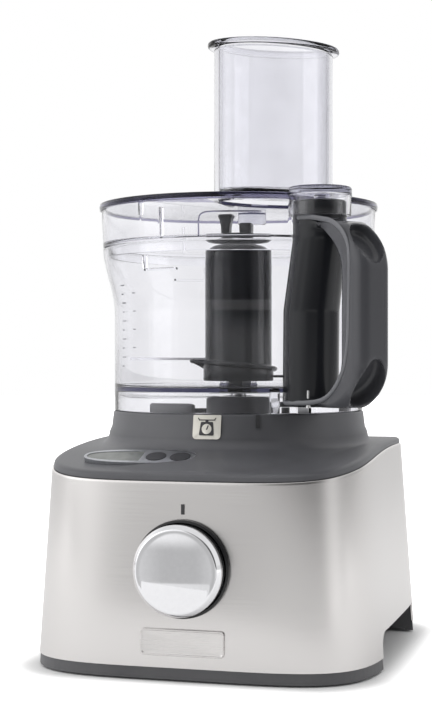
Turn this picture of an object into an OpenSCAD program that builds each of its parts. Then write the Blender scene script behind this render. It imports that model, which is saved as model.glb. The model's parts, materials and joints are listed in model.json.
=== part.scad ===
// Compact food processor with a belt driven bowl, built-in scale and feed tube lid.
// Origin: bowl axis at table level. Front is -Y, up is +Z. Millimetres.

/* [Base] */
// Width of the steel wrap at its foot
base_w = 205; // [200:1:210]
// Depth of the steel wrap at its foot
base_d = 230; // [226:1:234]
// Width of the steel wrap at its top
base_top_w = 188; // [185:1:191]
// Depth of the steel wrap at its top
base_top_d = 226; // [224:1:228]
// Distance of the base's centre in front of the bowl axis
base_shift = 5; // [4:1:6]
// Squareness of the base's plan outline
base_power = 4.6; // [4.2:0.1:5]
// Height of the steel wrap's lower edge
steel_z = 7; // [6.5:0.5:7.5]
// Highest point of the steel wrap's curved upper edge
rim_z = 123.7; // [123:0.1:124.5]
// Radius of the curve that the upper edge follows
rim_r = 800; // [780:10:820]
// Thickness of the dark top plate
plate_t = 3.9; // [3.5:0.1:4.2]
// Radius of the round pedestal that carries the bowl
pedestal_r = 77.5; // [77:0.5:78]
// Height of the pedestal's top
pedestal_z = 145.5; // [145:0.5:146]

/* [Bowl] */
// Outer radius of the bowl's lower wall
bowl_r = 77; // [76.5:0.5:77]
// Outer radius of the bowl at its rim
bowl_rim_r = 84.2; // [83.5:0.1:84.5]
// Height of the seam between bowl and lid
seam_z = 246; // [245.5:0.5:246.5]
// Height of the bowl's inner floor
floor_z = 160.5; // [160:0.5:161]
// Wall thickness of the clear mouldings
clear_t = 2.4; // [2:0.1:2.6]

/* [Lid] */
// Height of the lid's top
lid_z = 273; // [272:0.5:274]
// Outer radius of the lid's top
lid_r = 86; // [85.5:0.5:86.5]
// Long half axis of the feed tube
tube_a = 39; // [38:0.5:40]
// Short half axis of the feed tube
tube_b = 24.5; // [24:0.5:25]
// Distance of the feed tube's centre from the bowl axis
tube_off = 43; // [42:0.5:44]
// Height of the feed tube's mouth
tube_z = 361; // [355:1:362]

/* [Handle] */
// Direction of the handle and feed tube, seen from above
handle_az = -45; // [-46:1:-44]
// Radius of the handle's column
column_r = 15.4; // [15:0.1:15.5]
// Reach of the grip's outer face from the bowl axis
grip_reach = 150; // [148:1:152]
// Width of the grip
grip_w = 22; // [21:1:23]

/* [Controls] */
// Radius of the speed knob
knob_r = 25.5; // [25:0.5:25.5]
// Height of the speed knob's centre
knob_z = 62; // [60:1:64]
// Radius of each round button
button_r = 5.8; // [5.4:0.1:5.9]
// Slope of the display panel in degrees
panel_tilt = 19; // [18:1:20]

/* [Drive] */
// Radius of the small pulley on the motor
motor_pulley_r = 9; // [9:0.5:9.5]
// Speed ratio of the belt drive
belt_ratio = 4; // [4:1:4]
// Radius of the spindle
spindle_r = 5; // [5:0.5:5.5]
// Radius of the blades' tips
blade_r = 71; // [69:0.5:72]

/* [Hidden] */
$fn = 96;
fine = 720;
eps = 0.01;
gap = 0.3;
run = 0.04;
steel_t = 1.2;
base_y = -base_shift;
rim_y = 30;
outline_n = 96;
top_level = 130;
plate_inset = 0.8;
big = 400;

// the pedestal's wall and what is fixed on it
wall_z = 136;
film_top = 145.3;
film_gap = 0.15;
label_t = 0.6;

// hand-hold notches in the two sides
notch_y0 = -60;
notch_y1 = 70;
notch_z = 21;
notch_r = 9;
notch_depth = 20;

// pan and feet
pan_low = 0.8;
pan_under = 1.8;
recess_inset = 5;
pan_top = 5.5;
lip_top = 20;
foot_r = 9;
foot_x = 74;
foot_front_y = -92;
foot_rear_y = 84;
cell_l = 42;

// bowl profile
bowl_z = pedestal_z + gap;
flare_z = 205;
tower_r = 11.4;
tower_z = 236;
skirt_in = bowl_r - clear_t;
rib_az = -59.5;

// handle
column_low = 83.6;
column_low_r = column_r + 0.55;
screw_from = 95;
column_top = 93;
column_z0 = 150;
column_z1 = 268;
gap_in = 101.5;
gap_out = 130;
rod_at = 93;
rod_r = 3;
switch_at = 55.5;
switch_top = 128;
press = 3;
foot_low = pedestal_z + 1.7 + press;
rod_top = column_z1 - 0.5;
rod_head_h = 3.5;
spring_low = 240.8;

// lid
housing_r = 18;
housing_in = 16.2;
housing_z = 259;
boss_z = 262;
lip_z = 240;
lip_r = 81;
pusher_gap = 0.5;
flange_a = 43;
flange_b = 28;
flange_t = 3.4;

// blade unit
hub_r = 20.8;
hub_z0 = 170.4;
hub_z1 = 250.5;
prong_tall = [-10.6, 5.6, 14.5];
prong_short = [1.3, 7.6, 8.5];
neck_r = 9.6;
upper_blade_z = 176.4;
lower_blade_z = 165.5;
blade_t = 1.5;
upper_blade_az = 196;
lower_blade_az = 30;

// drive
big_pulley_r = motor_pulley_r * belt_ratio;
motor = [-44, 40];
belt_z = 17;
belt_h = 8;
belt_t = 2.4;
stator_w = 62;
rotor_r = 19;
motor_shaft_r = 4;
tower_in = 9;

// panel
panel_c = [-34, -92, 121];
screw_at = [[78, -70], [-78, -70], [28, 92], [-28, 92]];
panel_l = 67;
panel_w = 19;
panel_power = 2.4;
window_end = 1.4;
lcd_at = -15.5;
power_at = 10;
tare_at = 24.4;

// ---------------------------------------------------------------- shared shapes

// superellipse outline, the base's plan
function superellipse(w, d, p, n) = [
    for (i = [0 : n - 1])
        let (a = 360 * i / n, c = cos(a), s = sin(a))
        [w / 2 * sign(c) * pow(abs(c), 2 / p), d / 2 * sign(s) * pow(abs(s), 2 / p)]
];

function ellipse(a, b, n) = [for (i = [0 : n - 1]) [a * cos(360 * i / n), b * sin(360 * i / n)]];

// points of a circular arc about c, from angle a0 to a1
function arc(c, r, a0, a1, n) = [
    for (i = [0 : n]) let (a = a0 + (a1 - a0) * i / n) c + r * [cos(a), sin(a)]
];

module base_outline(inset, z) {
    k = (z - steel_z) / (rim_z - steel_z);
    w = base_w + (base_top_w - base_w) * k - 2 * inset;
    d = base_d + (base_top_d - base_d) * k - 2 * inset;
    translate([0, base_y, z])
        linear_extrude(height = eps)
            polygon(superellipse(w, d, base_power, outline_n));
}

// tapered block with the base's outline
module base_block(inset, z0, z1) {
    hull() {
        base_outline(inset, z0);
        base_outline(inset, z1 - eps);
    }
}

// everything below the curved upper edge, raised by lift
module below_rim(lift) {
    translate([0, rim_y, rim_z - rim_r])
        rotate([0, 90, 0])
            cylinder(r = rim_r + lift, h = big, center = true, $fn = fine);
}

module ring(r_out, r_in, h) {
    difference() {
        cylinder(r = r_out, h = h);
        translate([0, 0, -1])
            cylinder(r = r_in, h = h + 2);
    }
}

// upright prism with rounded corners, centred on its own axis
module rounded_box(w, d, h, r) {
    cube_w = w - 2 * r;
    cube_d = d - 2 * r;
    translate([-cube_w / 2, -d / 2, 0])
        cube([cube_w, d, h]);
    translate([-w / 2, -cube_d / 2, 0])
        cube([w, cube_d, h]);
    for (sx = [-1, 1], sy = [-1, 1])
        translate([sx * cube_w / 2, sy * cube_d / 2, 0])
            cylinder(r = r, h = h, $fn = 32);
}

// places children on the handle's direction, x outwards
module on_handle() {
    rotate([0, 0, handle_az])
        children();
}

// places children on the sloping display panel, z along its outward normal
module on_panel() {
    translate(panel_c)
        rotate([panel_tilt, 0, 0])
            children();
}

// y of the steel wrap's front face at height z
function front_at(z) =
    base_y - (base_d + (base_top_d - base_d) * (z - steel_z) / (rim_z - steel_z)) / 2;

// places children on the front face, z pointing out of it
module on_front(z) {
    translate([0, front_at(z), z])
        rotate([90, 0, 0])
            children();
}

// ---------------------------------------------------------------- base shell

module notches(grow) {
    h = notch_z + grow;
    y0 = notch_y0 - grow;
    y1 = notch_y1 + grow;
    for (side = [-1, 1])
        translate([side * (base_w / 2 + 10 - (notch_depth + 10) / 2 - grow / 2), 0, 0]) {
            depth = notch_depth + 10 + grow;
            translate([-depth / 2, y0, -1])
                cube([depth, y1 - y0, h - notch_r + 1]);
            translate([-depth / 2, y0 + notch_r, -1])
                cube([depth, y1 - y0 - 2 * notch_r, h + 1]);
            for (y = [y0 + notch_r, y1 - notch_r])
                translate([0, y, h - notch_r])
                    rotate([0, 90, 0])
                        cylinder(r = notch_r, h = depth, center = true, $fn = 48);
        }
}

module steel_wrap() {
    color("silver")
        intersection() {
            difference() {
                base_block(0, steel_z, top_level);
                base_block(steel_t, steel_z - 1, top_level + 1);
                notches(0);
                on_front(knob_z)
                    cylinder(r = 12, h = 40, center = true);
                translate([60, base_y + base_d / 2, 30])
                    rotate([90, 0, 0])
                        cylinder(r = 7.3, h = 40, center = true);
            }
            below_rim(0);
        }
}

// raised crown of the top plate, highest at the pedestal's foot
module crown() {
    foot = 86;
    edge = 118;
    rotate_extrude($fn = 144)
        polygon(concat(
            [[0, 112.6], [edge, 112.6], [edge, 113.6]],
            arc([foot + 2.2, 132.6], 8, 252, 180, 10),
            [[pedestal_r + 1.2, wall_z], [pedestal_r, pedestal_z], [0, pedestal_z]]
        ));
}

module lugs(count, r0, r1, z0, h, sweep) {
    for (i = [0 : count - 1])
        rotate([0, 0, i * 360 / count - 111])
            rotate([0, 0, -sweep / 2])
                translate([0, 0, z0])
                    rotate_extrude(angle = sweep)
                        translate([r0, 0])
                            square([r1 - r0, h]);
}

module top_housing() {
    color("dimgray")
        difference() {
            union() {
                intersection() {
                    base_block(plate_inset, 100, top_level + 20);
                    difference() {
                        below_rim(plate_t);
                        below_rim(0);
                    }
                }
                intersection() {
                    base_block(steel_t + 0.4, 100, 140);
                    below_rim(plate_t / 2);
                    difference() {
                        translate([-big / 2, -big / 2, 104])
                            cube([big, big, 30]);
                        base_block(steel_t + 2.4, 90, 150);
                    }
                }
                intersection() {
                    base_block(steel_t + 1.4, 100, 170);
                    crown();
                }
                translate([0, 0, 100])
                    cylinder(r = 20, h = pedestal_z + 11.7 - 100);
                for (p = screw_at)
                    translate([p.x, p.y, pan_top])
                        cylinder(r = 4.5, h = 110, $fn = 48);
                lugs(3, 64, 68.6, pedestal_z - 3, 9.3, 26);
                lugs(3, 64, 72.6, pedestal_z + 4.3, 2, 26);
            }
            // hollow under the crown, around the spindle's tower
            translate([0, 0, 90])
                difference() {
                    cylinder(r1 = 84, r2 = 73, h = 49);
                    cylinder(r = 14, h = 60);
                    on_handle()
                        translate([switch_at + 6, -5, 22])
                            cube([2.5, 10, 40]);
                }
            // bores
            on_handle()
                translate([switch_at, 0, 120])
                    cylinder(r = 2.7, h = 40, $fn = 48);
            on_panel()
                translate([0, 0, -2.4])
                    lens(panel_l + 0.2, panel_w + 0.2, 12);
            on_panel()
                for (x = [power_at, tare_at])
                    translate([x, 0, -20])
                        cylinder(r = button_r - 1.2, h = 30, $fn = 48);
            on_panel()
                translate([lcd_at - 12, -4.5, -20])
                    cube([24, 9, 30]);
            on_panel()
                translate([-31, -9, -30])
                    cube([62, 18, 26.4]);
            translate([0, 0, 90])
                cylinder(r = tower_in, h = 80);
            for (p = screw_at)
                translate([p.x, p.y, 0])
                    cylinder(r = 1.7, h = 14, $fn = 32);
        }
}

// long oval prism, the display panel's outline
module lens(l, w, h) {
    linear_extrude(height = h)
        polygon(superellipse(l, w, panel_power, outline_n));
}

module base_pan() {
    color("#4a4b4f")
        difference() {
            union() {
                difference() {
                    base_block(0.6, pan_low, steel_z);
                    base_block(steel_t + 2.6, pan_top, steel_z + 5);
                }
                difference() {
                    base_block(steel_t + 0.4, pan_top, lip_top);
                    base_block(steel_t + 2.6, pan_top, lip_top + 5);
                }
                intersection() {
                    base_block(steel_t + 0.5, pan_low, 60);
                    notches(2.4);
                }
                cylinder(r = 12, h = 15.5);
            }
            notches(0);
            translate([0, 0, pan_top])
                cylinder(r = 8, h = 20);
            // underside recess, so that only the rim comes close to the table
            intersection() {
                base_block(recess_inset, -5, pan_under + 5);
                translate([-big / 2, -big / 2, -5])
                    cube([big, big, 5 + pan_under]);
            }
            for (x = [-foot_x, foot_x], y = [foot_front_y, foot_rear_y])
                translate([x, y, -1])
                    cylinder(r = 4.2, h = 20, $fn = 48);
            for (i = [-4 : 4])
                translate([-66, motor.y + i * 7 - 1.5, -1])
                    cube([44, 3, 8]);
            for (p = screw_at)
                translate([p.x, p.y, -1]) {
                    cylinder(r = 1.7, h = 20, $fn = 32);
                    cylinder(r = 3.2, h = 4.6, $fn = 32);
                }
        }
}

module rubber_feet() {
    color("black")
        for (x = [-foot_x, foot_x], y = [foot_front_y, foot_rear_y])
            translate([x, y, 0]) {
                cylinder(r1 = foot_r - 0.8, r2 = foot_r, h = 0.8);
                translate([0, 0, 0.8 - eps])
                    cylinder(r = foot_r, h = 1 + eps);
                cylinder(r = 4, h = 10);
            }
}

module load_cells() {
    color("lightsteelblue")
        for (x = [-foot_x, foot_x], y = [foot_front_y, foot_rear_y])
            translate([x, y, 10]) {
                difference() {
                    translate([x < 0 ? -8 : 8 - cell_l, -6, 0])
                        cube([cell_l, 12, 9]);
                    translate([x < 0 ? 14 : -14, -20, 4.5])
                        rotate([-90, 0, 0])
                            cylinder(r = 3, h = 40, $fn = 48);
                }
            }
}

// ---------------------------------------------------------------- front controls

module knob_trim() {
    color("black")
        on_front(knob_z) {
            translate([0, 0, 0.5])
                ring(knob_r + 1.6, 9.2, 0.9);
            translate([0, 0, 0.5])
                ring(knob_r + 1.6, knob_r + 0.3, 2.8);
            translate([0, 0, -3])
                ring(11.5, 9.2, 4);
        }
}

module control_knob() {
    color("silver")
        on_front(knob_z)
            difference() {
                union() {
                    translate([0, 0, 1.8])
                        cylinder(r = knob_r - 0.2, h = 9);
                    translate([0, 0, 10.8 - eps])
                        cylinder(r1 = knob_r - 0.2, r2 = knob_r - 2.4, h = 3.4);
                }
                translate([0, 0, -1])
                    ring(knob_r - 2.4, 6, 12);
                translate([0, 0, -1])
                    cylinder(r = 3, h = 11);
            }
}

module knob_shaft() {
    color("gainsboro")
        on_front(knob_z)
            translate([0, 0, -18])
                cylinder(r = 3, h = 28);
}

module selector_switch() {
    color("darkslategray")
        on_front(knob_z)
            translate([0, 0, -20])
                difference() {
                    union() {
                        rounded_box(34, 30, 13, 3);
                        cylinder(r = 9, h = 18);
                    }
                    translate([0, 0, -1])
                        cylinder(r = 3 + run, h = 40);
                    translate([0, 0, -1])
                        cylinder(r = 5, h = 2.5);
                }
}

module badge_plate() {
    w = 48.2;
    h = 14.8;
    color("silver")
        on_front(21.4)
            difference() {
                translate([0, 0, 0.15])
                    rounded_box(w, h, 1.2, 2);
                translate([0, 0, 0.85])
                    rounded_box(w - 2.4, h - 2.4, 2, 1.4);
            }
}

module index_mark() {
    color("#333333")
        on_front(knob_z + knob_r + 4.4)
            translate([-0.9, 0, 0.1])
                cube([1.8, 5.6, 0.4]);
}

// radius of the pedestal's wall at height z, above its foot
function wall_r(z) = pedestal_r + 1.2 * (pedestal_z - z) / (pedestal_z - wall_z);

// profile of a thin film on the pedestal's wall, from z0 up to its top edge
function film(z0, t) = [
    [wall_r(z0) + film_gap, z0], [wall_r(film_top) + film_gap, film_top],
    [wall_r(film_top) + film_gap + t, film_top], [wall_r(z0) + film_gap + t, z0]
];

module on_wall(az, angle) {
    rotate([0, 0, az - angle / 2])
        rotate_extrude(angle = angle)
            children();
}

module scale_label() {
    color("gainsboro")
        on_wall(-90, 12)
            polygon(concat(
                [[80.6, 130.9], [80.4, 132.6]],
                film(wall_z, label_t),
                [[81.2, 132.4], [81.4, 130.9]]
            ));
}

module lock_mark() {
    color("#333333")
        on_wall(-66.9, 1.7)
            polygon(film(film_top - 7.5, label_t));
}

// the display window's outline, the panel's own outline cut off before the buttons
module window_prism(grow, z0, h) {
    intersection() {
        translate([0, 0, z0])
            lens(panel_l - 3.4 + 2 * grow, panel_w - 5 + 2 * grow, h);
        translate([-panel_l, -panel_w, z0 - 1])
            cube([panel_l + window_end + grow, 2 * panel_w, h + 2]);
    }
}

module display_bezel() {
    color("silver")
        on_panel()
            difference() {
                translate([0, 0, -2.3])
                    lens(panel_l, panel_w, 3.2);
                window_prism(0.05, -5, 12);
                for (x = [power_at, tare_at])
                    translate([x, 0, -5])
                        cylinder(r = button_r + gap, h = 12);
            }
}

module display_window() {
    color([0.6, 0.65, 0.6, 0.8])
        on_panel()
            window_prism(0, -1.2, 1.8);
}

module display_module() {
    color("darkgreen")
        on_panel() {
            translate([lcd_at - 11.5, -4.2, -11])
                cube([23, 8.4, 8]);
            translate([-30, -8, -13])
                cube([58, 16, 1.6]);
            for (x = [power_at, tare_at])
                translate([x, 0, -11.4])
                    cylinder(r = 2.6, h = 2.2, $fn = 48);
        }
}

module round_button(x) {
    on_panel()
        translate([x, 0, 0]) {
            translate([0, 0, -1.2])
                cylinder(r = button_r, h = 2.4);
            translate([0, 0, -7.9])
                cylinder(r = button_r - 2.2, h = 6.8, $fn = 48);
        }
}

module power_button() {
    color("#2a2a2c")
        round_button(power_at);
}

module tare_button() {
    color("#2a2a2c")
        round_button(tare_at);
}

module control_board() {
    color("green")
        translate([24, -88, 30]) {
            cube([40, 1.6, 60]);
            for (z = [6, 26, 44])
                translate([8, 1.6 - eps, z])
                    cube([22, 12, 10]);
        }
}

// ---------------------------------------------------------------- drive

module at_motor() {
    translate([motor.x, motor.y, 0])
        children();
}

module motor_stator() {
    color("slategray")
        at_motor() {
            difference() {
                translate([0, 0, 46])
                    rounded_box(stator_w, stator_w, 38, 6);
                cylinder(r = rotor_r + 0.8, h = 120);
                for (x = [-24, 24], y = [-24, 24])
                    translate([x, y, 0])
                        cylinder(r = 1.6, h = 120, $fn = 32);
            }
            for (side = [-1, 1], z = [40.5, 84])
                translate([side * 25.4 - 3.6, -16, z])
                    cube([7.2, 32, 5.5]);
        }
}

module motor_cradle() {
    plate = stator_w + 6;
    color("gray")
        at_motor()
            difference() {
                union() {
                    translate([0, 0, 28.5])
                        rounded_box(plate, plate, 3, 6);
                    translate([0, 0, 27])
                        cylinder(r = 10, h = 6);
                    translate([-plate / 2, -8, 99])
                        cube([plate, 16, 3.5]);
                    translate([0, 0, 98])
                        cylinder(r = 10, h = 7);
                    for (side = [-1, 1])
                        translate([side * (plate / 2 - 1.5) - 1.5, -8, 28.5])
                            cube([3, 16, 74]);
                    for (p = [[-1, -1], [-1, 1], [1, 1]])
                        translate([p.x * 28, p.y * 28, pan_top])
                            cylinder(r = 4, h = 24, $fn = 48);
                }
                translate([0, 0, 20])
                    cylinder(r = 7, h = 100);
            }
}

module motor_bushes() {
    color("peru")
        at_motor()
            for (z = [27, 98.5])
                translate([0, 0, z])
                    ring(7, motor_shaft_r + run, 6);
}

module motor_rotor() {
    color("darkgray")
        at_motor() {
            translate([0, 0, 14])
                cylinder(r = motor_shaft_r, h = 92);
            translate([0, 0, 47])
                difference() {
                    cylinder(r = rotor_r, h = 36);
                    for (i = [0 : 11])
                        rotate([0, 0, i * 30])
                            translate([rotor_r - 4, -1, -1])
                                cube([6, 2, 38]);
                }
        }
}

module commutator() {
    color("peru")
        at_motor()
            translate([0, 0, 87])
                ring(10, motor_shaft_r, 10);
}

module carbon_brushes() {
    color("#303030")
        at_motor()
            for (side = [-1, 1])
                translate([side * 16.3 - 6, -3, 89.6])
                    cube([12, 6, 6]);
}

module cooling_fan() {
    color("ivory")
        at_motor()
            translate([0, 0, 34]) {
                ring(25, motor_shaft_r, 1.2);
                ring(8, motor_shaft_r, 5.5);
                for (i = [0 : 8])
                    rotate([0, 0, i * 40])
                        translate([7.5, -0.6, 0])
                            cube([12, 1.2, 5]);
            }
}

// toothless pulley with two flanges
module pulley(r, bore) {
    difference() {
        union() {
            cylinder(r = r, h = belt_h);
            translate([0, 0, -1.5])
                cylinder(r = r + 2, h = 1.5 + eps);
            translate([0, 0, belt_h - eps])
                cylinder(r = r + 2, h = 1.5);
        }
        translate([0, 0, -5])
            cylinder(r = bore, h = 30);
    }
}

module motor_pulley() {
    color("gray")
        at_motor()
            translate([0, 0, belt_z])
                pulley(motor_pulley_r, motor_shaft_r);
}

module spindle_pulley() {
    color("#555555")
        translate([0, 0, belt_z])
            difference() {
                pulley(big_pulley_r, spindle_r);
                for (i = [0 : 5])
                    rotate([0, 0, i * 60])
                        translate([22, 0, -5])
                            cylinder(r = 7, h = 30, $fn = 48);
            }
}

module belt_loop(grow) {
    hull() {
        circle(r = big_pulley_r + gap + grow);
        translate(motor)
            circle(r = motor_pulley_r + gap + grow);
    }
}

module drive_belt() {
    color("#1a1a1a")
        translate([0, 0, belt_z + 0.6])
            linear_extrude(height = belt_h - 1.2)
                difference() {
                    belt_loop(belt_t);
                    belt_loop(0);
                }
}

module drive_shaft() {
    color("gainsboro") {
        translate([0, 0, 6.5])
            cylinder(r = spindle_r, h = 228);
        translate([0, 0, 234.5 - eps])
            cylinder(r = spindle_r, h = 8, $fn = 6);
    }
}

module drive_dog() {
    color("#333333")
        translate([0, 0, pedestal_z + 12.5])
            difference() {
                cylinder(r = 8, h = 9, $fn = 6);
                translate([0, 0, -1])
                    cylinder(r = spindle_r, h = 20);
            }
}

module spindle_bushes() {
    color("peru") {
        translate([0, 0, 5.6])
            ring(8, spindle_r + run, 9.4);
        translate([0, 0, 104])
            ring(tower_in, spindle_r + run, 24);
    }
}

module shaft_seal() {
    color("black")
        translate([0, 0, pedestal_z + 6])
            ring(tower_in, spindle_r + run, 5);
}

// ---------------------------------------------------------------- blade unit

module blade_hub() {
    color("#4b4e54")
        difference() {
            union() {
                translate([0, 0, hub_z0])
                    cylinder(r = hub_r, h = hub_z1 - hub_z0 - 4);
                translate([0, 0, hub_z1 - 4 - eps])
                    cylinder(r1 = hub_r, r2 = hub_r - 3, h = 4 + eps);
                translate([0, 0, hub_z1 - 1])
                    cylinder(r = neck_r, h = 5.5);
                for (p = [prong_tall, prong_short])
                    translate([p[0], -4, hub_z1 + 3])
                        cube([p[1], 8, p[2]]);
            }
            translate([0, 0, hub_z0 - 1])
                cylinder(r = tower_r + 0.8, h = tower_z + 1.5 - hub_z0 + 1);
            translate([0, 0, 230])
                cylinder(r = spindle_r, h = 12.5, $fn = 6);
        }
}

module blade_collar() {
    color("#4b4e54")
        difference() {
            union() {
                translate([0, 0, lower_blade_z - 2])
                    cylinder(r = hub_r + 2.4, h = hub_z0 - lower_blade_z + 2);
                translate([0, 0, hub_z0])
                    ring(hub_r + 2.4, hub_r + run, upper_blade_z - run - hub_z0);
                rotate([0, 0, upper_blade_az - 50])
                    translate([0, 0, upper_blade_z - 2.2 - run])
                        rotate_extrude(angle = 100)
                            translate([hub_r + 1, 0])
                                square([30.5 - hub_r, 2.2]);
            }
            translate([0, 0, 150])
                cylinder(r = tower_r + 0.8, h = 60);
            rotate([0, 0, lower_blade_az])
                translate([10, -9.05, lower_blade_z - 0.02])
                    cube([40, 18.1, blade_t + 0.04]);
        }
}

// curved cutting blade, its root on the hub and its tip swept back
module knife(r_root, sweep_r) {
    linear_extrude(height = blade_t)
        difference() {
            intersection() {
                translate([0, -sweep_r + 9])
                    circle(r = sweep_r, $fn = 180);
                circle(r = blade_r);
                translate([0, -60])
                    square([120, 120]);
            }
            translate([0, -sweep_r - 9])
                circle(r = sweep_r, $fn = 180);
            circle(r = r_root);
        }
}

module upper_blade() {
    color("gainsboro")
        translate([0, 0, upper_blade_z])
            rotate([0, 0, upper_blade_az])
                knife(hub_r + run, 110);
}

module lower_blade() {
    color("gainsboro")
        translate([0, 0, lower_blade_z])
            rotate([0, 0, lower_blade_az])
                intersection() {
                    knife(tower_r + 1.2, 110);
                    union() {
                        translate([10, -9, 0])
                            cube([40, 18, blade_t]);
                        difference() {
                            cylinder(r = blade_r + 1, h = blade_t);
                            cylinder(r = hub_r + 2.4, h = blade_t);
                        }
                    }
                }
}

// ---------------------------------------------------------------- base internals

module interlock_switch() {
    color("black")
        on_handle()
            translate([switch_at - 6, -5, switch_top - 16])
                cube([12, 10, 16]);
}

module interlock_plunger() {
    low = switch_top + gap + press;
    color("#3a3b3f")
        on_handle()
            translate([switch_at, 0, low])
                cylinder(r = 2.4, h = foot_low - gap - low, $fn = 48);
}

module cord_inlet() {
    color("#2b2b2d")
        translate([60, base_y + base_d / 2, 30])
            rotate([90, 0, 0])
                difference() {
                    union() {
                        translate([0, 0, -1.6])
                            cylinder(r = 10, h = 3);
                        cylinder(r = 7.2, h = 12);
                    }
                    translate([0, 0, -4])
                        cylinder(r = 3.75, h = 30);
                }
}

module terminal_block() {
    color("ivory")
        translate([18, 58, pan_top])
            cube([26, 12, 14]);
}

module base_screws() {
    color("gainsboro")
        for (p = screw_at)
            translate([p.x, p.y, pan_under]) {
                cylinder(r = 3.2, h = 1.8, $fn = 32);
                cylinder(r = 1.7, h = 12, $fn = 32);
            }
}

// ---------------------------------------------------------------- bowl

function bowl_outer() = concat(
    [[bowl_r, flare_z]],
    [for (i = [1 : 8])
        let (k = i / 8)
        [bowl_r + (bowl_rim_r - bowl_r) * (k * k * (3 - 2 * k) * 0.7 + 0.3 * k * k),
            flare_z + (seam_z - 3 - flare_z) * k]],
    [[bowl_rim_r, seam_z - gap]]
);

module bowl_solid(grow) {
    rotate_extrude($fn = 144)
        polygon(concat([[0, 120], [bowl_r + grow, 120]], [for (p = bowl_outer()) p + [grow, 0]],
            [[0, seam_z - gap]]));
}

module bowl() {
    outer = bowl_outer();
    inner = [for (i = [len(outer) - 1 : -1 : 0]) outer[i] - [clear_t, 0]];
    color([0.85, 0.88, 0.95, 0.4])
        difference() {
            union() {
                rotate_extrude($fn = 144)
                    polygon(concat(
                        [[skirt_in, bowl_z], [bowl_r, bowl_z]],
                        outer,
                        [[bowl_rim_r - clear_t, seam_z - gap]],
                        [for (i = [1 : len(inner) - 1]) inner[i]],
                        [[bowl_r - clear_t, floor_z], [tower_r, floor_z], [tower_r, tower_z],
                            [tower_r - 2.4, tower_z], [tower_r - 2.4, floor_z - 2.4],
                            [skirt_in, floor_z - 2.4]]
                    ));
                lugs(3, 69.4, skirt_in + 0.4, bowl_z + 0.3, 3, 18);
                rotate([0, 0, rib_az])
                    translate([bowl_r - 1, -3, bowl_z])
                        cube([3.4, 6, 14]);
            }
            on_handle()
                translate([60, -4.6, bowl_z - 1])
                    cube([30, 9.2, 9]);
        }
}

module column(grow) {
    hull() {
        translate([column_low, 0, column_z0])
            cylinder(r = column_low_r + grow, h = 1, $fn = 64);
        translate([column_low + 1, 0, flare_z])
            cylinder(r = column_low_r + grow, h = 1, $fn = 64);
    }
    hull() {
        translate([column_low + 1, 0, flare_z])
            cylinder(r = column_low_r + grow, h = 1, $fn = 64);
        translate([column_top, 0, seam_z])
            cylinder(r = column_r + grow, h = 1, $fn = 64);
    }
    translate([column_top, 0, seam_z])
        cylinder(r = column_r + grow, h = column_z1 - seam_z, $fn = 64);
}

// outline of the loop in the plane of the handle
module loop_outline() {
    difference() {
        hull() {
            translate([rod_at - 7, column_z0])
                square([10, 108]);
            translate([grip_reach - 24, 229])
                circle(r = 24);
            translate([grip_reach - 22, column_z0 + 22])
                circle(r = 22);
        }
        hull() {
            translate([gap_in - 30, 157])
                square([20, 95]);
            translate([gap_out - 20, 232])
                circle(r = 18);
            translate([gap_out - 18, 175])
                circle(r = 18);
        }
    }
}

module handle() {
    color("#4b4c50")
        on_handle()
            difference() {
                union() {
                    column(0);
                    rotate([90, 0, 0])
                        translate([0, 0, -grip_w / 2])
                            linear_extrude(height = grip_w)
                                loop_outline();
                }
                bowl_solid(0.05);
                // insert pocket on the grip's inner face
                translate([gap_out - 2, -8, 182])
                    cube([3.2, 16, 42]);
                translate([rod_at, 0, 100])
                    cylinder(r = rod_r + gap, h = 200, $fn = 48);
                translate([rod_at, 0, 240])
                    cylinder(r = 5.6, h = 100, $fn = 48);
                translate([70, -4.4, 140])
                    cube([rod_at - 70 + 3.3, 8.8, 16]);
                for (s = [[1, 238], [-1, 168]])
                    translate([134, 0, s[1]])
                        rotate([0, 90 - s[0] * 45, 0])
                            translate([0, 0, 3])
                                cylinder(r = 10, h = 40, $fn = 64);
                for (y = [-9, 9])
                    translate([screw_from, y, column_z0 - 1])
                        cylinder(r = 1.6, h = 12, $fn = 32);
            }
}

module grip_insert() {
    color("#6a6b70")
        on_handle()
            translate([gap_out - 0.4, -7.9, 182.1])
                cube([1.6, 15.8, 41.8]);
}

module handle_screws() {
    color("gainsboro")
        on_handle()
            for (y = [-9, 9])
                translate([screw_from, y, column_z0 - 0.4]) {
                    cylinder(r = 1.6, h = 10, $fn = 32);
                }
}

module interlock_rod() {
    color("#3a3b3f")
        on_handle() {
            translate([rod_at, 0, foot_low])
                cylinder(r = rod_r, h = rod_top - foot_low, $fn = 48);
            translate([rod_at, 0, rod_top - rod_head_h])
                cylinder(r = 5.2, h = rod_head_h, $fn = 48);
            translate([switch_at - 2.5, -4, foot_low])
                cube([rod_at - switch_at + 2.5, 8, 3]);
        }
}

// coil drawn as level rings joined by short links
module rod_spring() {
    turns = 5;
    coil_r = 4.4;
    wire_r = 0.6;
    pitch = (rod_top - rod_head_h - wire_r - spring_low) / (turns - 1);
    color("silver")
        on_handle()
            translate([rod_at, 0, spring_low])
                for (i = [0 : turns - 1]) {
                    translate([0, 0, i * pitch])
                        rotate_extrude($fn = 48)
                            translate([coil_r, 0])
                                circle(r = wire_r, $fn = 16);
                    if (i > 0)
                        rotate([0, 0, 90 * i])
                            translate([coil_r, 0, (i - 1) * pitch])
                                cylinder(r = wire_r - 0.1, h = pitch, $fn = 16);
                }
}

// ---------------------------------------------------------------- lid and pusher

module tube_prism(a, b, z0, z1) {
    on_handle()
        translate([tube_off, 0, z0])
            linear_extrude(height = z1 - z0)
                polygon(ellipse(b, a, 96));
}

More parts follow.
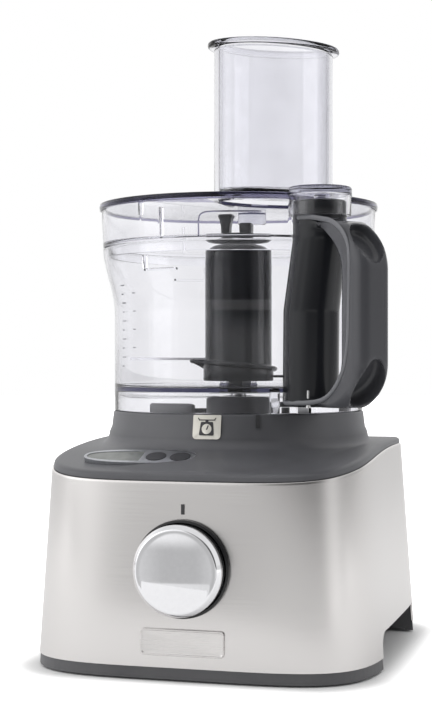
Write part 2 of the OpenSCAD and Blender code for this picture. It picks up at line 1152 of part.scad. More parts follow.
module lid() {
    color([0.85, 0.88, 0.95, 0.4])
        difference() {
            union() {
                rotate_extrude($fn = 144)
                    polygon([
                        [0, lid_z - clear_t], [lid_r - clear_t, lid_z - clear_t],
                        [bowl_rim_r - clear_t, seam_z + 3], [79.6, seam_z + 1.6],
                        [79.6, lip_z], [lip_r, lip_z], [lip_r, seam_z], [bowl_rim_r, seam_z],
                        [lid_r, lid_z - 4], [lid_r + 0.6, lid_z - 2], [lid_r, lid_z], [0, lid_z]
                    ]);
                tube_prism(tube_a, tube_b, lid_z - clear_t, tube_z);
                translate([3, 22.4, boss_z])
                    cylinder(r = 9, h = lid_z - 1 - boss_z);
                on_handle()
                    translate([column_top, 0, housing_z]) {
                        cylinder(r = housing_r, h = lid_z - 1.2 - housing_z);
                        translate([0, 0, lid_z - 2.7 - housing_z])
                            cylinder(r = housing_r + 0.4, h = 5.4);
                    }
            }
            tube_prism(tube_a - clear_t, tube_b - clear_t, lid_z - 10, tube_z + 1);
            on_handle()
                translate([column_top, 0, lip_z - 5])
                    difference() {
                        cylinder(r = housing_in, h = lid_z - 1.5 - lip_z + 5);
                        translate([0, 0, rod_top + gap - lip_z + 5])
                            cylinder(r = 3.5, h = 20);
                    }
        }
}

module pusher() {
    a = tube_a - clear_t - pusher_gap;
    b = tube_b - clear_t - pusher_gap;
    color([0.88, 0.9, 0.96, 0.4])
        difference() {
            union() {
                tube_prism(a, b, lid_z + 2, tube_z + flange_t);
                tube_prism(flange_a, flange_b, tube_z + gap, tube_z + gap + flange_t);
            }
            tube_prism(a - 2, b - 2, lid_z + 4.2, tube_z + 10);
        }
}

// ---------------------------------------------------------------- assembly

steel_wrap();
top_housing();
base_pan();
rubber_feet();
load_cells();
knob_trim();
selector_switch();
badge_plate();
index_mark();
scale_label();
lock_mark();
display_bezel();
display_window();
display_module();
control_board();
motor_stator();
motor_cradle();
motor_bushes();
carbon_brushes();
drive_belt();
spindle_bushes();
shaft_seal();
interlock_switch();
cord_inlet();
terminal_block();
base_screws();
motor_rotor();
commutator();
cooling_fan();
motor_pulley();
drive_shaft();
spindle_pulley();
drive_dog();
blade_hub();
blade_collar();
upper_blade();
lower_blade();
control_knob();
knob_shaft();
power_button();
tare_button();
interlock_plunger();
bowl();
handle();
grip_insert();
handle_screws();
interlock_rod();
rod_spring();
lid();
pusher();
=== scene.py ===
import json
import math

import bmesh
import bpy
import numpy as np
from mathutils import Matrix, Vector


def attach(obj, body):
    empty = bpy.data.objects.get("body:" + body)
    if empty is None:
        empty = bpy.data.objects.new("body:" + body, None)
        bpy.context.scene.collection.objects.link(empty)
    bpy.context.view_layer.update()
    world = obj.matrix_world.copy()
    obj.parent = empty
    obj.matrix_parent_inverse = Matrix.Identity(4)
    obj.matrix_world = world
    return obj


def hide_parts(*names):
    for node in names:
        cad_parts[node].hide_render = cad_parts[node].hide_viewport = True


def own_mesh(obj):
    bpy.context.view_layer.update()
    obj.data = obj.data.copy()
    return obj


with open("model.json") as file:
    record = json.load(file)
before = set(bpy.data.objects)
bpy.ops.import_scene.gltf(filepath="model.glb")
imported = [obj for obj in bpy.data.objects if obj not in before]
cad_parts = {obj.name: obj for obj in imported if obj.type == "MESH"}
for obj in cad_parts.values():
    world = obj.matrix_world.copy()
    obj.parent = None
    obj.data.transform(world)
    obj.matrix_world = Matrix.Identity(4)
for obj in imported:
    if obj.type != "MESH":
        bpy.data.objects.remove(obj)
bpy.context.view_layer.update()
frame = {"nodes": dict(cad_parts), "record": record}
NODES = frame["nodes"]
MM = 0.001

# ---- shared sizes, in millimetres
BASE_W, BASE_TOP_W = 205.0, 188.0
BASE_D, BASE_TOP_D = 230.0, 226.0
BASE_Y = -5.0
POWER = 4.6
STEEL_Z = 7.0
RIM_Y, RIM_Z, RIM_R = 30.0, 123.7, 800.0
PLATE_T, PLATE_INSET = 3.9, 0.8
NOTCH_Y, NOTCH_Z, NOTCH_R = (-60.0, 70.0), 21.0, 9.0
PEDESTAL_R, PEDESTAL_Z, WALL_Z = 77.5, 145.5, 136.0
FILLET_X, FILLET_Z, FILLET_R = 88.2, 132.6, 8.0
BOWL_R, BOWL_T, BOWL_FLARE, BEND_Z, BEND_H = 77.0, 2.4, 7.2, 205.0, 38.0
HANDLE_AZ = math.radians(-45)
ROD_X, PLUNGER_X = 93.0, 55.5
KNOB_Z, BADGE_Z, INLET_Z = 62.0, 21.4, 30.0
LABEL_AZ, LABEL_Z = -88.3, 138.6
PANEL_C, PANEL_TILT = (-34.0, -92.0, 121.0), math.radians(19)
PANEL_L, PANEL_W, PANEL_POWER = 67.0, 19.0, 2.4


def front_y(z):
    """Where the front face is at height z."""
    k = (z - STEEL_Z) / (RIM_Z - STEEL_Z)
    return BASE_Y - (BASE_D + (BASE_TOP_D - BASE_D) * k) / 2


def rim_z(y):
    """Height of the steel's arched top edge."""
    return RIM_Z - RIM_R + math.sqrt(RIM_R ** 2 - (y - RIM_Y) ** 2)


def wall_r(z):
    """Radius of the pedestal's wall, and below WALL_Z of the bevel down to its fillet."""
    r = PEDESTAL_R + 1.2 * (PEDESTAL_Z - z) / (PEDESTAL_Z - WALL_Z)
    if z >= WALL_Z:
        return r
    foot = FILLET_X - FILLET_R
    if z < FILLET_Z:
        return foot
    start = wall_r(WALL_Z)
    return start + (foot - start) * (WALL_Z - z) / (WALL_Z - FILLET_Z)


def bowl_flare(k):
    """Outer radius of the bowl at share k of its upper part, where it widens."""
    return BOWL_R + BOWL_FLARE * (k * k * (3 - 2 * k) * 0.7 + 0.3 * k * k)


# ---- mesh helpers
def linked(name, data):
    ob = bpy.data.objects.new(name, data)
    bpy.context.scene.collection.objects.link(ob)
    return ob


def plain(name, shape):
    """A solid from (points in millimetres, faces), with its normals outwards."""
    me = bpy.data.meshes.new(name)
    me.from_pydata([[c * MM for c in v] for v in shape[0]], [], shape[1])
    bm = bmesh.new()
    bm.from_mesh(me)
    bmesh.ops.remove_doubles(bm, verts=bm.verts, dist=2e-6)
    bmesh.ops.recalc_face_normals(bm, faces=bm.faces)
    bm.to_mesh(me)
    bm.free()
    return linked(name, me)


def dress(ob, body, slot, replaces=(), angle=32, material=None):
    """Smooth apart from edges sharper than angle, in its slot's material unless one is given."""
    me = ob.data
    me.polygons.foreach_set("use_smooth", [True] * len(me.polygons))
    me.set_sharp_from_angle(angle=math.radians(angle))
    me.materials.clear()
    me.materials.append(material or MATS[slot])
    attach(ob, body)
    if replaces:
        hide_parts(*replaces)
    return ob


def make(name, shape, body, slot, replaces=(), angle=32, material=None):
    return dress(plain(name, shape), body, slot, replaces, angle, material)


def skin(rings, close_path=False):
    """Vertices and faces of a surface through closed rings. Open paths get a fan at each end."""
    n = len(rings[0])
    verts = [p for ring in rings for p in ring]
    faces = []
    rows = len(rings)
    for i in range(rows if close_path else rows - 1):
        a, b = i * n, (i + 1) % rows * n
        for j in range(n):
            k = (j + 1) % n
            faces.append((a + j, a + k, b + k, b + j))
    if not close_path:
        for row in (0, rows - 1):
            ring = rings[row]
            centre = [sum(p[c] for p in ring) / n for c in range(3)]
            verts.append(centre)
            for j in range(n):
                faces.append((row * n + j, row * n + (j + 1) % n, len(verts) - 1))
    return verts, faces


def rounded(points, closed=True, seg=5):
    """Polyline through (x, y, fillet radius) corners, with each corner rounded."""
    out = []
    n = len(points)
    for i, p in enumerate(points):
        x, y, r = p if len(p) == 3 else (p[0], p[1], 0)
        if r <= 0 or (not closed and i in (0, n - 1)):
            out.append((x, y))
            continue
        here = Vector((x, y))
        va = Vector(points[i - 1][:2]) - here
        vb = Vector(points[(i + 1) % n][:2]) - here
        la, lb = va.length, vb.length
        va.normalize()
        vb.normalize()
        half = va.angle(vb) / 2
        t = min(r / math.tan(half), 0.49 * la, 0.49 * lb)
        rr = t * math.tan(half)
        mid = (va + vb).normalized()
        centre = here + mid * (rr / math.sin(half))
        s, e = here + va * t - centre, here + vb * t - centre
        turn = s.angle_signed(e)
        for k in range(seg + 1):
            a = -turn * k / seg
            out.append((centre.x + s.x * math.cos(a) - s.y * math.sin(a),
                        centre.y + s.x * math.sin(a) + s.y * math.cos(a)))
    return out


def circle(r, z, n, centre=(0.0, 0.0)):
    return [(centre[0] + r * math.cos(2 * math.pi * j / n), centre[1] + r * math.sin(2 * math.pi * j / n), z)
            for j in range(n)]


def lathe(profile, n, centre=(0.0, 0.0)):
    """Revolve of a (radius, z) outline, closed in a ring or through its ends on the axis."""
    if profile[0][0] <= 1e-9 and profile[-1][0] <= 1e-9:
        body = [p for p in profile if p[0] > 1e-9]
        rings = [circle(r, z, n, centre) for r, z in body]
        verts, faces = skin(rings)
        verts[-2] = (centre[0], centre[1], profile[0][1])
        verts[-1] = (centre[0], centre[1], profile[-1][1])
        return verts, faces
    return skin([circle(r, z, n, centre) for r, z in profile], close_path=True)


def turned(axis, degrees):
    return Matrix.Rotation(math.radians(degrees), 4, axis)


def placed(shape, matrix):
    verts, faces = shape
    return [tuple(matrix @ Vector(v)) for v in verts], faces


def on_front(z):
    """Matrix of the front face at height z, local z pointing out of it."""
    return Matrix.Translation((0, front_y(z), z)) @ turned("X", 90)


def on_handle(out=0.0):
    """Matrix of the handle's frame, x outwards, moved out by a distance."""
    return Matrix.Rotation(HANDLE_AZ, 4, "Z") @ Matrix.Translation((out, 0, 0))


def on_panel():
    """Matrix of the display panel, local z pointing out of it."""
    return Matrix.Translation(PANEL_C) @ Matrix.Rotation(PANEL_TILT, 4, "X")


def cut(ob, other, how="DIFFERENCE"):
    """Takes the other solid from the object, or adds it, and uses it up."""
    mod = ob.modifiers.new("cut", "BOOLEAN")
    mod.operation = how
    mod.object = other
    mod.solver = "EXACT"
    dg = bpy.context.evaluated_depsgraph_get()
    me = bpy.data.meshes.new_from_object(ob.evaluated_get(dg))
    ob.modifiers.clear()
    old = ob.data
    ob.data = me
    bpy.data.meshes.remove(old)
    bpy.data.objects.remove(other)
    return ob


def implicit(f, lo, hi, step):
    """Closed surface where f(x, y, z) changes sign, by surface nets, pulled onto f = 0."""
    axes = [np.arange(a, b + step, step) for a, b in zip(lo, hi)]
    gx, gy, gz = np.meshgrid(*axes, indexing="ij")
    val = f(gx, gy, gz)
    inside = val < 0
    nx, ny, nz = val.shape
    corners = [(i, j, k) for i in (0, 1) for j in (0, 1) for k in (0, 1)]

    def shifted(a, c):
        return a[c[0]:nx - 1 + c[0], c[1]:ny - 1 + c[1], c[2]:nz - 1 + c[2]]

    count = sum(shifted(inside, c).astype(int) for c in corners)
    mixed = (count > 0) & (count < 8)
    ids = np.full(mixed.shape, -1)
    ids[mixed] = np.arange(mixed.sum())
    total = np.zeros(mixed.shape + (3,))
    hits = np.zeros(mixed.shape)
    for a in corners:
        for d in range(3):
            if a[d]:
                continue
            b = tuple(1 if q == d else a[q] for q in range(3))
            va, vb = shifted(val, a), shifted(val, b)
            cross = ((va < 0) != (vb < 0)) & mixed
            t = np.where(cross, va / np.where(cross, va - vb, 1), 0)
            point = np.stack([np.full(mixed.shape, float(a[q])) + (t if q == d else 0) for q in range(3)], -1)
            total += point * cross[..., None]
            hits += cross
    base = np.argwhere(mixed)
    pts = (base + total[mixed] / hits[mixed][:, None]) * step + np.array(lo)
    e = step * 0.05
    for _ in range(4):
        x, y, z = pts.T
        v = f(x, y, z)
        g = np.stack([(f(x + e, y, z) - f(x - e, y, z)), (f(x, y + e, z) - f(x, y - e, z)),
                      (f(x, y, z + e) - f(x, y, z - e))], -1) / (2 * e)
        move = g * (v / np.maximum((g * g).sum(1), 1e-6))[:, None]
        size = np.linalg.norm(move, axis=1, keepdims=True)
        pts = pts - move * np.minimum(1, step * 0.4 / np.maximum(size, 1e-9))
    faces = []
    for d in range(3):
        u, w = (d + 1) % 3, (d + 2) % 3
        lo_s = [slice(None)] * 3
        hi_s = [slice(None)] * 3
        lo_s[d], hi_s[d] = slice(0, -1), slice(1, None)
        change = inside[tuple(lo_s)] != inside[tuple(hi_s)]
        flip = inside[tuple(lo_s)]
        for p in np.argwhere(change):
            if p[u] == 0 or p[w] == 0 or p[u] >= mixed.shape[u] or p[w] >= mixed.shape[w]:
                continue
            quad = []
            for du, dw in ((0, 0), (1, 0), (1, 1), (0, 1)):
                q = list(p)
                q[u] -= 1 - du
                q[w] -= 1 - dw
                quad.append(int(ids[tuple(q)]))
            if min(quad) < 0:
                continue
            faces.append(tuple(quad) if flip[tuple(p)] else tuple(reversed(quad)))
    return [tuple(p) for p in pts], faces


def smin(a, b, k):
    """Smaller of two fields, blended over k."""
    h = np.clip(0.5 + 0.5 * (b - a) / k, 0, 1)
    return b + (a - b) * h - k * h * (1 - h)


def smax(a, b, k):
    return -smin(-a, -b, k)


# ---- materials
def shader(name):
    m = bpy.data.materials.new(name)
    m.use_nodes = True
    tree = m.node_tree
    return m, tree, tree.nodes["Principled BSDF"]


def node(tree, kind, **values):
    """A node with values for its inputs, or for its own settings."""
    n = tree.nodes.new(kind)
    for key, value in values.items():
        if key in n.inputs:
            n.inputs[key].default_value = value
        else:
            setattr(n, key, value)
    return n


def coords(tree, scale=(1, 1, 1)):
    tc = tree.nodes.new("ShaderNodeTexCoord")
    mp = tree.nodes.new("ShaderNodeMapping")
    mp.inputs["Scale"].default_value = scale
    tree.links.new(tc.outputs["Object"], mp.inputs["Vector"])
    return mp.outputs["Vector"]


def noise(tree, vector, scale, detail=3.0, rough=0.5):
    n = node(tree, "ShaderNodeTexNoise", Scale=scale, Detail=detail, Roughness=rough)
    tree.links.new(vector, n.inputs["Vector"])
    return n.outputs["Fac"]


def ramp(tree, fac, stops):
    r = tree.nodes.new("ShaderNodeValToRGB")
    while len(r.color_ramp.elements) < len(stops):
        r.color_ramp.elements.new(0.5)
    for el, (pos, col) in zip(r.color_ramp.elements, stops):
        el.position = pos
        el.color = (*col, 1) if len(col) == 3 else col
    tree.links.new(fac, r.inputs["Fac"])
    return r.outputs["Color"]


def value_range(tree, fac, to_lo=0.0, to_hi=1.0, lo=0.0, hi=1.0, how="LINEAR"):
    m = node(tree, "ShaderNodeMapRange", interpolation_type=how)
    for key, value in (("From Min", lo), ("From Max", hi), ("To Min", to_lo), ("To Max", to_hi)):
        m.inputs[key].default_value = value
    tree.links.new(fac, m.inputs["Value"])
    return m.outputs["Result"]


def vector_math(tree, operation, vector, other=None):
    n = node(tree, "ShaderNodeVectorMath", operation=operation)
    tree.links.new(vector, n.inputs[0])
    if other is not None:
        n.inputs[1].default_value = other
    return n.outputs["Value" if operation in ("LENGTH", "DOT_PRODUCT") else "Vector"]


def mix(tree, fac, a, b):
    """Mix of two numbers, each from a socket or plain."""
    n = node(tree, "ShaderNodeMix", data_type="FLOAT")
    for key, v in zip((0, 2, 3), (fac, a, b)):
        if isinstance(v, float):
            n.inputs[key].default_value = v
        else:
            tree.links.new(v, n.inputs[key])
    return n.outputs[0]


def bump(tree, p, fac, strength, distance):
    b = node(tree, "ShaderNodeBump", Strength=strength, Distance=distance)
    tree.links.new(fac, b.inputs["Height"])
    tree.links.new(b.outputs["Normal"], p.inputs["Normal"])


def plastic(name, dark, light, rough=(0.35, 0.5), grain=900.0, strength=0.12, spec=0.5, patch=35.0):
    """Moulded plastic: slow colour drift, fine grain in roughness and bump."""
    m, tree, p = shader(name)
    v = coords(tree)
    tree.links.new(ramp(tree, noise(tree, v, patch, 4), [(0.3, dark), (0.7, light)]), p.inputs["Base Color"])
    fine = noise(tree, v, grain, 2)
    tree.links.new(value_range(tree, fine, *rough), p.inputs["Roughness"])
    bump(tree, p, fine, strength, 0.0002)
    p.inputs["Specular IOR Level"].default_value = spec
    return m


def metal(name, dark, light, rough=(0.2, 0.35), scale=(1, 1, 1), grain=400.0, strength=0.05, aniso=0.0):
    """Bare metal. A scale with one large number brushes it across that axis."""
    m, tree, p = shader(name)
    v = coords(tree, scale)
    fac = noise(tree, v, grain, 4, 0.6)
    tree.links.new(ramp(tree, fac, [(0.25, dark), (0.75, light)]), p.inputs["Base Color"])
    tree.links.new(value_range(tree, fac, *rough), p.inputs["Roughness"])
    bump(tree, p, fac, strength, 0.0001)
    p.inputs["Metallic"].default_value = 1.0
    p.inputs["Anisotropic"].default_value = aniso
    return m


def plastic_with_painted_column_shade(name, near, far, start, end):
    """Glossy plastic that is darker on the handle's column than on its grip: painted shade on the column."""
    m = plastic(name, near, near, (0.14, 0.22), 1100.0, 0.03, DARK_SPEC)
    tree = m.node_tree
    out = vector_math(tree, "DOT_PRODUCT", coords(tree), (math.cos(HANDLE_AZ), math.sin(HANDLE_AZ), 0))
    tree.links.new(ramp(tree, value_range(tree, out, lo=start, hi=end), [(0.0, near), (1.0, far)]),
                   tree.nodes["Principled BSDF"].inputs["Base Color"])
    return m


def clear(name, pale=(0.97, 0.97, 0.98), paler=(0.99, 0.99, 1.0), density=42.0):
    """Clear moulding, faintly violet where it is thick."""
    m, tree, p = shader(name)
    v = coords(tree)
    wave = noise(tree, v, 60.0, 2)
    tree.links.new(ramp(tree, wave, [(0.3, pale), (0.7, paler)]), p.inputs["Base Color"])
    tree.links.new(value_range(tree, wave, 0.0, 0.03), p.inputs["Roughness"])
    bump(tree, p, wave, 0.06, 0.0004)
    p.inputs["Transmission Weight"].default_value = 1.0
    p.inputs["IOR"].default_value = 1.34
    depth = node(tree, "ShaderNodeVolumeAbsorption", Color=(0.52, 0.52, 0.62, 1), Density=density)
    tree.links.new(depth.outputs["Volume"], tree.nodes["Material Output"].inputs["Volume"])
    return m


DARK_SPEC = 0.32
MATS = {
    "steel": metal("steel_brushed", (0.72, 0.70, 0.69), (0.76, 0.74, 0.73), (0.20, 0.26),
                   (3, 3, 420), 6.0, 0.03, 0.8),
    "dark_plastic": plastic("housing_plastic", (0.088, 0.089, 0.097), (0.105, 0.106, 0.115), (0.38, 0.5),
                            1400.0),
    "pan_plastic": plastic("pan_plastic", (0.075, 0.075, 0.08), (0.095, 0.095, 0.10), (0.42, 0.55), 1200.0),
    "rubber": plastic("foot_rubber", (0.012, 0.012, 0.012), (0.025, 0.025, 0.025), (0.7, 0.85), 700.0, 0.3),
    "sensor_metal": metal("load_cell_alloy", (0.62, 0.63, 0.65), (0.76, 0.77, 0.79), (0.3, 0.45),
                          (60, 1, 1), 30.0),
    "knob_chrome": metal("knob_satin_chrome", (0.86, 0.86, 0.88), (0.90, 0.90, 0.92), (0.02, 0.05),
                         (1, 1, 1), 500.0, 0.01),
    "trim_black": plastic("trim_black", (0.006, 0.006, 0.007), (0.012, 0.012, 0.013), (0.18, 0.28), 800.0, 0.05),
    "switch_plastic": plastic("switch_plastic", (0.03, 0.03, 0.035), (0.05, 0.05, 0.055), (0.45, 0.6)),
    "badge_metal": metal("badge_metal", (0.72, 0.70, 0.69), (0.76, 0.74, 0.73), (0.24, 0.32),
                         (3, 3, 420), 6.0, 0.04),
    "mark_ink": plastic("mark_ink", (0.035, 0.035, 0.038), (0.055, 0.055, 0.058), (0.5, 0.65), 600.0, 0.1),
    "label_silver": metal("label_film", (0.74, 0.72, 0.65), (0.84, 0.82, 0.76), (0.42, 0.55),
                          (1, 1, 1), 90.0, 0.02),
    "bezel_silver": metal("bezel_silver", (0.42, 0.43, 0.45), (0.56, 0.57, 0.60), (0.28, 0.40),
                          (1, 1, 1), 300.0, 0.03),
    "circuit_green": plastic("circuit_green", (0.01, 0.09, 0.03), (0.02, 0.16, 0.06), (0.3, 0.45), 300.0),
    "stator_steel": metal("stator_laminations", (0.18, 0.18, 0.19), (0.34, 0.34, 0.36), (0.35, 0.55),
                          (1, 1, 90), 25.0, 0.3),
    "cradle_metal": metal("cradle_zinc", (0.36, 0.38, 0.41), (0.52, 0.54, 0.57), (0.35, 0.5), (1, 1, 1), 60.0, 0.05),
    "bronze": metal("sintered_bronze", (0.42, 0.25, 0.10), (0.62, 0.42, 0.2), (0.35, 0.5), (1, 1, 1), 600.0, 0.1),
    "carbon": plastic("carbon_block", (0.01, 0.01, 0.01), (0.025, 0.025, 0.025), (0.5, 0.7), 500.0, 0.3),
    "belt_rubber": plastic("belt_rubber", (0.01, 0.01, 0.01), (0.02, 0.02, 0.02), (0.6, 0.8), 800.0, 0.3),
    "shaft_steel": metal("ground_steel", (0.62, 0.62, 0.63), (0.78, 0.78, 0.79), (0.16, 0.28),
                         (1, 1, 60), 20.0, 0.04),
    "fan_plastic": plastic("fan_plastic", (0.55, 0.50, 0.38), (0.65, 0.60, 0.46), (0.4, 0.55)),
    "blade_steel": metal("blade_steel", (0.36, 0.36, 0.38), (0.46, 0.46, 0.48), (0.16, 0.26),
                         (1, 1, 1), 220.0, 0.03),
    "hub_plastic": plastic("hub_plastic", (0.012, 0.013, 0.016), (0.018, 0.019, 0.023), (0.10, 0.16), 1100.0, 0.03,
                           DARK_SPEC),
    "button_dark": plastic("button_dark", (0.03, 0.03, 0.034), (0.045, 0.045, 0.05), (0.25, 0.35), 900.0, 0.05),
    # the near colour darkens the handle's column: painted shade
    "handle_plastic": plastic_with_painted_column_shade("handle_plastic", (0.014, 0.015, 0.018), (0.074, 0.075, 0.083), 0.109, 0.118),
    "grip_plastic": plastic("grip_plastic", (0.07, 0.07, 0.075), (0.09, 0.09, 0.096), (0.4, 0.5), 1200.0),
    "interlock_plastic": plastic("interlock_plastic", (0.035, 0.036, 0.04), (0.05, 0.051, 0.056), (0.35, 0.5)),
    "spring_steel": metal("spring_wire", (0.5, 0.5, 0.52), (0.65, 0.65, 0.67), (0.2, 0.3)),
    "inlet_black": plastic("inlet_rubber", (0.012, 0.012, 0.013), (0.02, 0.02, 0.021), (0.6, 0.75), 700.0, 0.25),
    "terminal_ivory": plastic("terminal_ivory", (0.55, 0.52, 0.42), (0.66, 0.63, 0.52), (0.4, 0.55)),
    "lcd_window": plastic("lcd_window", (0.11, 0.12, 0.11), (0.21, 0.22, 0.21), (0.08, 0.14),
                          200.0, 0.01, patch=70.0),
    "clear_plastic": clear("clear_plastic"),
}
# dark violet clear plastic for edges: the tint is the plastic's own where thick, the darkness painted shade
RIM_PAINTED_SHADE = clear("clear_rim_painted_shade", (0.30, 0.29, 0.40), (0.38, 0.37, 0.48), 60.0)
# lighter grey for the handle loop's edge: a painted highlight
EDGE_HIGHLIGHT = plastic("handle_edge_painted_highlight", (0.115, 0.117, 0.128), (0.14, 0.142, 0.155), (0.16, 0.24), 1100.0, 0.03)
MARKING = plastic("moulded_marking", (0.30, 0.30, 0.33), (0.38, 0.38, 0.41), (0.5, 0.6))

SLOT_OF = {s["node"]: s["material_slot"] for s in frame["record"]["subparts"]}
for cad_name, cad in NODES.items():
    cad.data.materials.clear()
    cad.data.materials.append(MATS[SLOT_OF[cad_name]])


def finish_cad(name, width, angle=32):
    """Softens a CAD node's edges by width, with modifiers that leave its mesh as it is."""
    ob = NODES[name]
    ob.data.polygons.foreach_set("use_smooth", [True] * len(ob.data.polygons))
    flat = ob.modifiers.new("flat", "DECIMATE")
    flat.decimate_type = "DISSOLVE"
    flat.angle_limit = math.radians(0.5)
    if width:
        b = ob.modifiers.new("edge", "BEVEL")
        b.width = width * MM
        b.segments = 2
        b.limit_method = "ANGLE"
        b.angle_limit = math.radians(angle)
    ob.data.set_sharp_from_angle(angle=math.radians(angle))


# ---- base outline
def outline_at(t, z, inset=0.0):
    """Point of the base's outline at parameter t and height z, moved in by inset."""
    k = (z - STEEL_Z) / (RIM_Z - STEEL_Z)
    w = (BASE_W + (BASE_TOP_W - BASE_W) * k) / 2 - inset
    d = (BASE_D + (BASE_TOP_D - BASE_D) * k) / 2 - inset
    c, s = math.cos(t), math.sin(t)
    return (w * math.copysign(abs(c) ** (2 / POWER), c),
            BASE_Y + d * math.copysign(abs(s) ** (2 / POWER), s))


def even_steps(n):
    """Parameters t that divide the base outline into n equal lengths."""
    t = np.linspace(0, 2 * np.pi, 24001)
    c, s = np.cos(t), np.sin(t)
    x = 100 * np.sign(c) * np.abs(c) ** (2 / POWER)
    y = 114 * np.sign(s) * np.abs(s) ** (2 / POWER)
    length = np.concatenate([[0], np.cumsum(np.hypot(np.diff(x), np.diff(y)))])
    return [float(v) for v in np.interp(np.linspace(0, length[-1], n + 1)[:-1], length, t)]


def steel_columns():
    """(t, lowest z) round the wrap, with the hand-hold notches on both sides."""
    d = BASE_D / 2 - 0.3
    margin = 0.6
    out = []

    def t_of(y, side):
        s = math.copysign(min(1.0, abs((y - BASE_Y) / d)) ** (POWER / 2), y - BASE_Y)
        t = math.asin(s)
        return t % (2 * math.pi) if side > 0 else math.pi - t

    y0, y1 = NOTCH_Y
    for t in even_steps(360):
        x, y = outline_at(t, 14)
        if abs(x) < 60 or not y0 - margin < y < y1 + margin:
            out.append((t, STEEL_Z))
        elif y0 + NOTCH_R + margin < y < y1 - NOTCH_R - margin:
            out.append((t, NOTCH_Z))
    for side in (1, -1):
        for start, way in ((y0, 1), (y1, -1)):
            out.append((t_of(start, side), STEEL_Z))
            for k in range(9):
                a = math.radians(90 * k / 8)
                y = start + way * NOTCH_R * (1 - math.cos(a))
                # the first point stands a hair further than the one straight below it
                nudge = 1e-5 * way * side if k == 0 else 0
                out.append((t_of(y, side) + nudge, NOTCH_Z - NOTCH_R + NOTCH_R * math.sin(a)))
    out.sort()
    return out


def steel_wrap():
    """The steel skin: a ring per (inset, share of the height, lift), up its outside and down its inside."""
    cols = steel_columns()
    wall, soft, rows = 1.2, 0.3, 16
    outside = [(0.0, share, 0.0) for share in [0.012] + [k / rows for k in range(1, rows)] + [0.985]]
    section = [(soft, 0, 0.0), (0.0, 0, soft), *outside, (0.0, 1, -0.35), (0.12, 1, -0.1), (0.35, 1, 0.0),
               (wall - soft, 1, 0.0), (wall, 1, -soft), (wall, 0.66, 0.0), (wall, 0.33, 0.0), (wall, 0, soft),
               (wall - soft, 0, 0.0)]
    rings = []
    for inset, share, lift in section:
        ring = []
        for t, low in cols:
            z = low + (rim_z(outline_at(t, 120)[1]) - low) * share + lift
            ring.append((*outline_at(t, z, inset), z))
        rings.append(ring)
    ob = make("steel_skin", skin(rings, close_path=True), "base", "steel", angle=40)
    for x, y, z, r in ((0, front_y(KNOB_Z), KNOB_Z, 12.0), (60, 110, INLET_Z, 7.3)):
        cut(ob, plain("drill", placed(lathe([(0, -20), (r, -20), (r, 20), (0, 20)], 64),
                                      Matrix.Translation((x, y, z)) @ turned("X", 90))))
    return dress(ob, "base", "steel", ["steel_wrap"], 40)


def soft_max(a, b, k):
    """Larger of two numbers, blended over k."""
    return 0.5 * (a + b + math.sqrt((a - b) ** 2 + k * k))


def housing():
    """Top plate, crown and pedestal as one skin, from the spindle's bore out to the plate's edge."""
    ts = even_steps(384)
    inner = rounded([(9.0, 148.0), (9.0, 157.2, 0.6), (20.0, 157.2, 1.6), (20.0, PEDESTAL_Z, 1.2),
                     (PEDESTAL_R, PEDESTAL_Z, 1.1), (wall_r(WALL_Z), WALL_Z)], closed=False)
    foot = [(FILLET_X + FILLET_R * math.cos(math.radians(a)), FILLET_Z + FILLET_R * math.sin(math.radians(a)))
            for a in range(180, 253, 8)]
    rings = []
    plan = [outline_at(t, 124, PLATE_INSET) for t in ts]
    azimuth = [math.atan2(y, x) for x, y in plan]

    def plate(y):
        return rim_z(y) + PLATE_T

    def level(r, z):
        rings.append([(r * math.cos(a), r * math.sin(a), z) for a in azimuth])

    for r, z in inner:
        level(r, z)
    blend = 0.8
    for r, z in foot:
        rings.append([(r * math.cos(a), r * math.sin(a), soft_max(z, plate(r * math.sin(a)), blend))
                      for a in azimuth])
    # the crown falls from the fillet towards the plate's edge
    r0, z0 = foot[-1]
    slope = (113.6 - z0) / (118 - r0)
    edge_in, edge_drop, steps = 3.0, 1.7, 22
    for k in range(1, steps + 1):
        ring = []
        for t, a in zip(ts, azimuth):
            qx, qy = outline_at(t, 124, PLATE_INSET + edge_in)
            u = k / steps
            x = r0 * math.cos(a) * (1 - u) + qx * u
            y = r0 * math.sin(a) * (1 - u) + qy * u
            r = math.hypot(x, y)
            ring.append((x, y, soft_max(z0 + slope * (r - r0), plate(y), blend)))
        rings.append(ring)
    for k in range(1, 7):
        a = math.radians(90 * k / 6)
        ring = []
        for t in ts:
            inset = PLATE_INSET + edge_in * (1 - math.sin(a))
            z = plate(outline_at(t, 124, inset)[1]) - edge_drop * (1 - math.cos(a))
            ring.append((*outline_at(t, z, inset), z))
        rings.append(ring)
    for inset, drop in ((PLATE_INSET, 0.2), (PLATE_INSET + 0.25, 0.02), (3.6, 0.02)):
        ring = []
        for t in ts:
            z = rim_z(outline_at(t, 122, inset)[1]) + drop
            ring.append((*outline_at(t, z, inset), z))
        rings.append(ring)
    for inset, z in ((3.6, 106.0), (5.6, 106.0)):
        rings.append([(*outline_at(t, z, inset), z) for t in ts])
    for r, z in ((84, 112.0), (73, 139.0), (14, 139.0), (14, 104.0), (9, 104.0)):
        level(r, z)
    ob = make("housing_top", skin(rings, close_path=True), "base", "dark_plastic")
    pocket = lens(PANEL_L + 0.3, PANEL_W + 0.3)
    cut(ob, plain("pocket", placed(skin([[(x, y, z) for x, y in pocket] for z in (-2.4, 12.0)]), on_panel())))
    cut(ob, plain("bore", placed(lathe([(0, 120), (2.7, 120), (2.7, 160), (0, 160)], 48), on_handle(PLUNGER_X))))
    return dress(ob, "base", "dark_plastic", ["top_housing"], 30)


def lens(w, d, n=160):
    """Plan outline of the display panel."""
    out = []
    for i in range(n):
        t = 2 * math.pi * (i + 0.5) / n
        c, s = math.cos(t), math.sin(t)
        out.append((w / 2 * math.copysign(abs(c) ** (2 / PANEL_POWER), c),
                    d / 2 * math.copysign(abs(s) ** (2 / PANEL_POWER), s)))
    return out


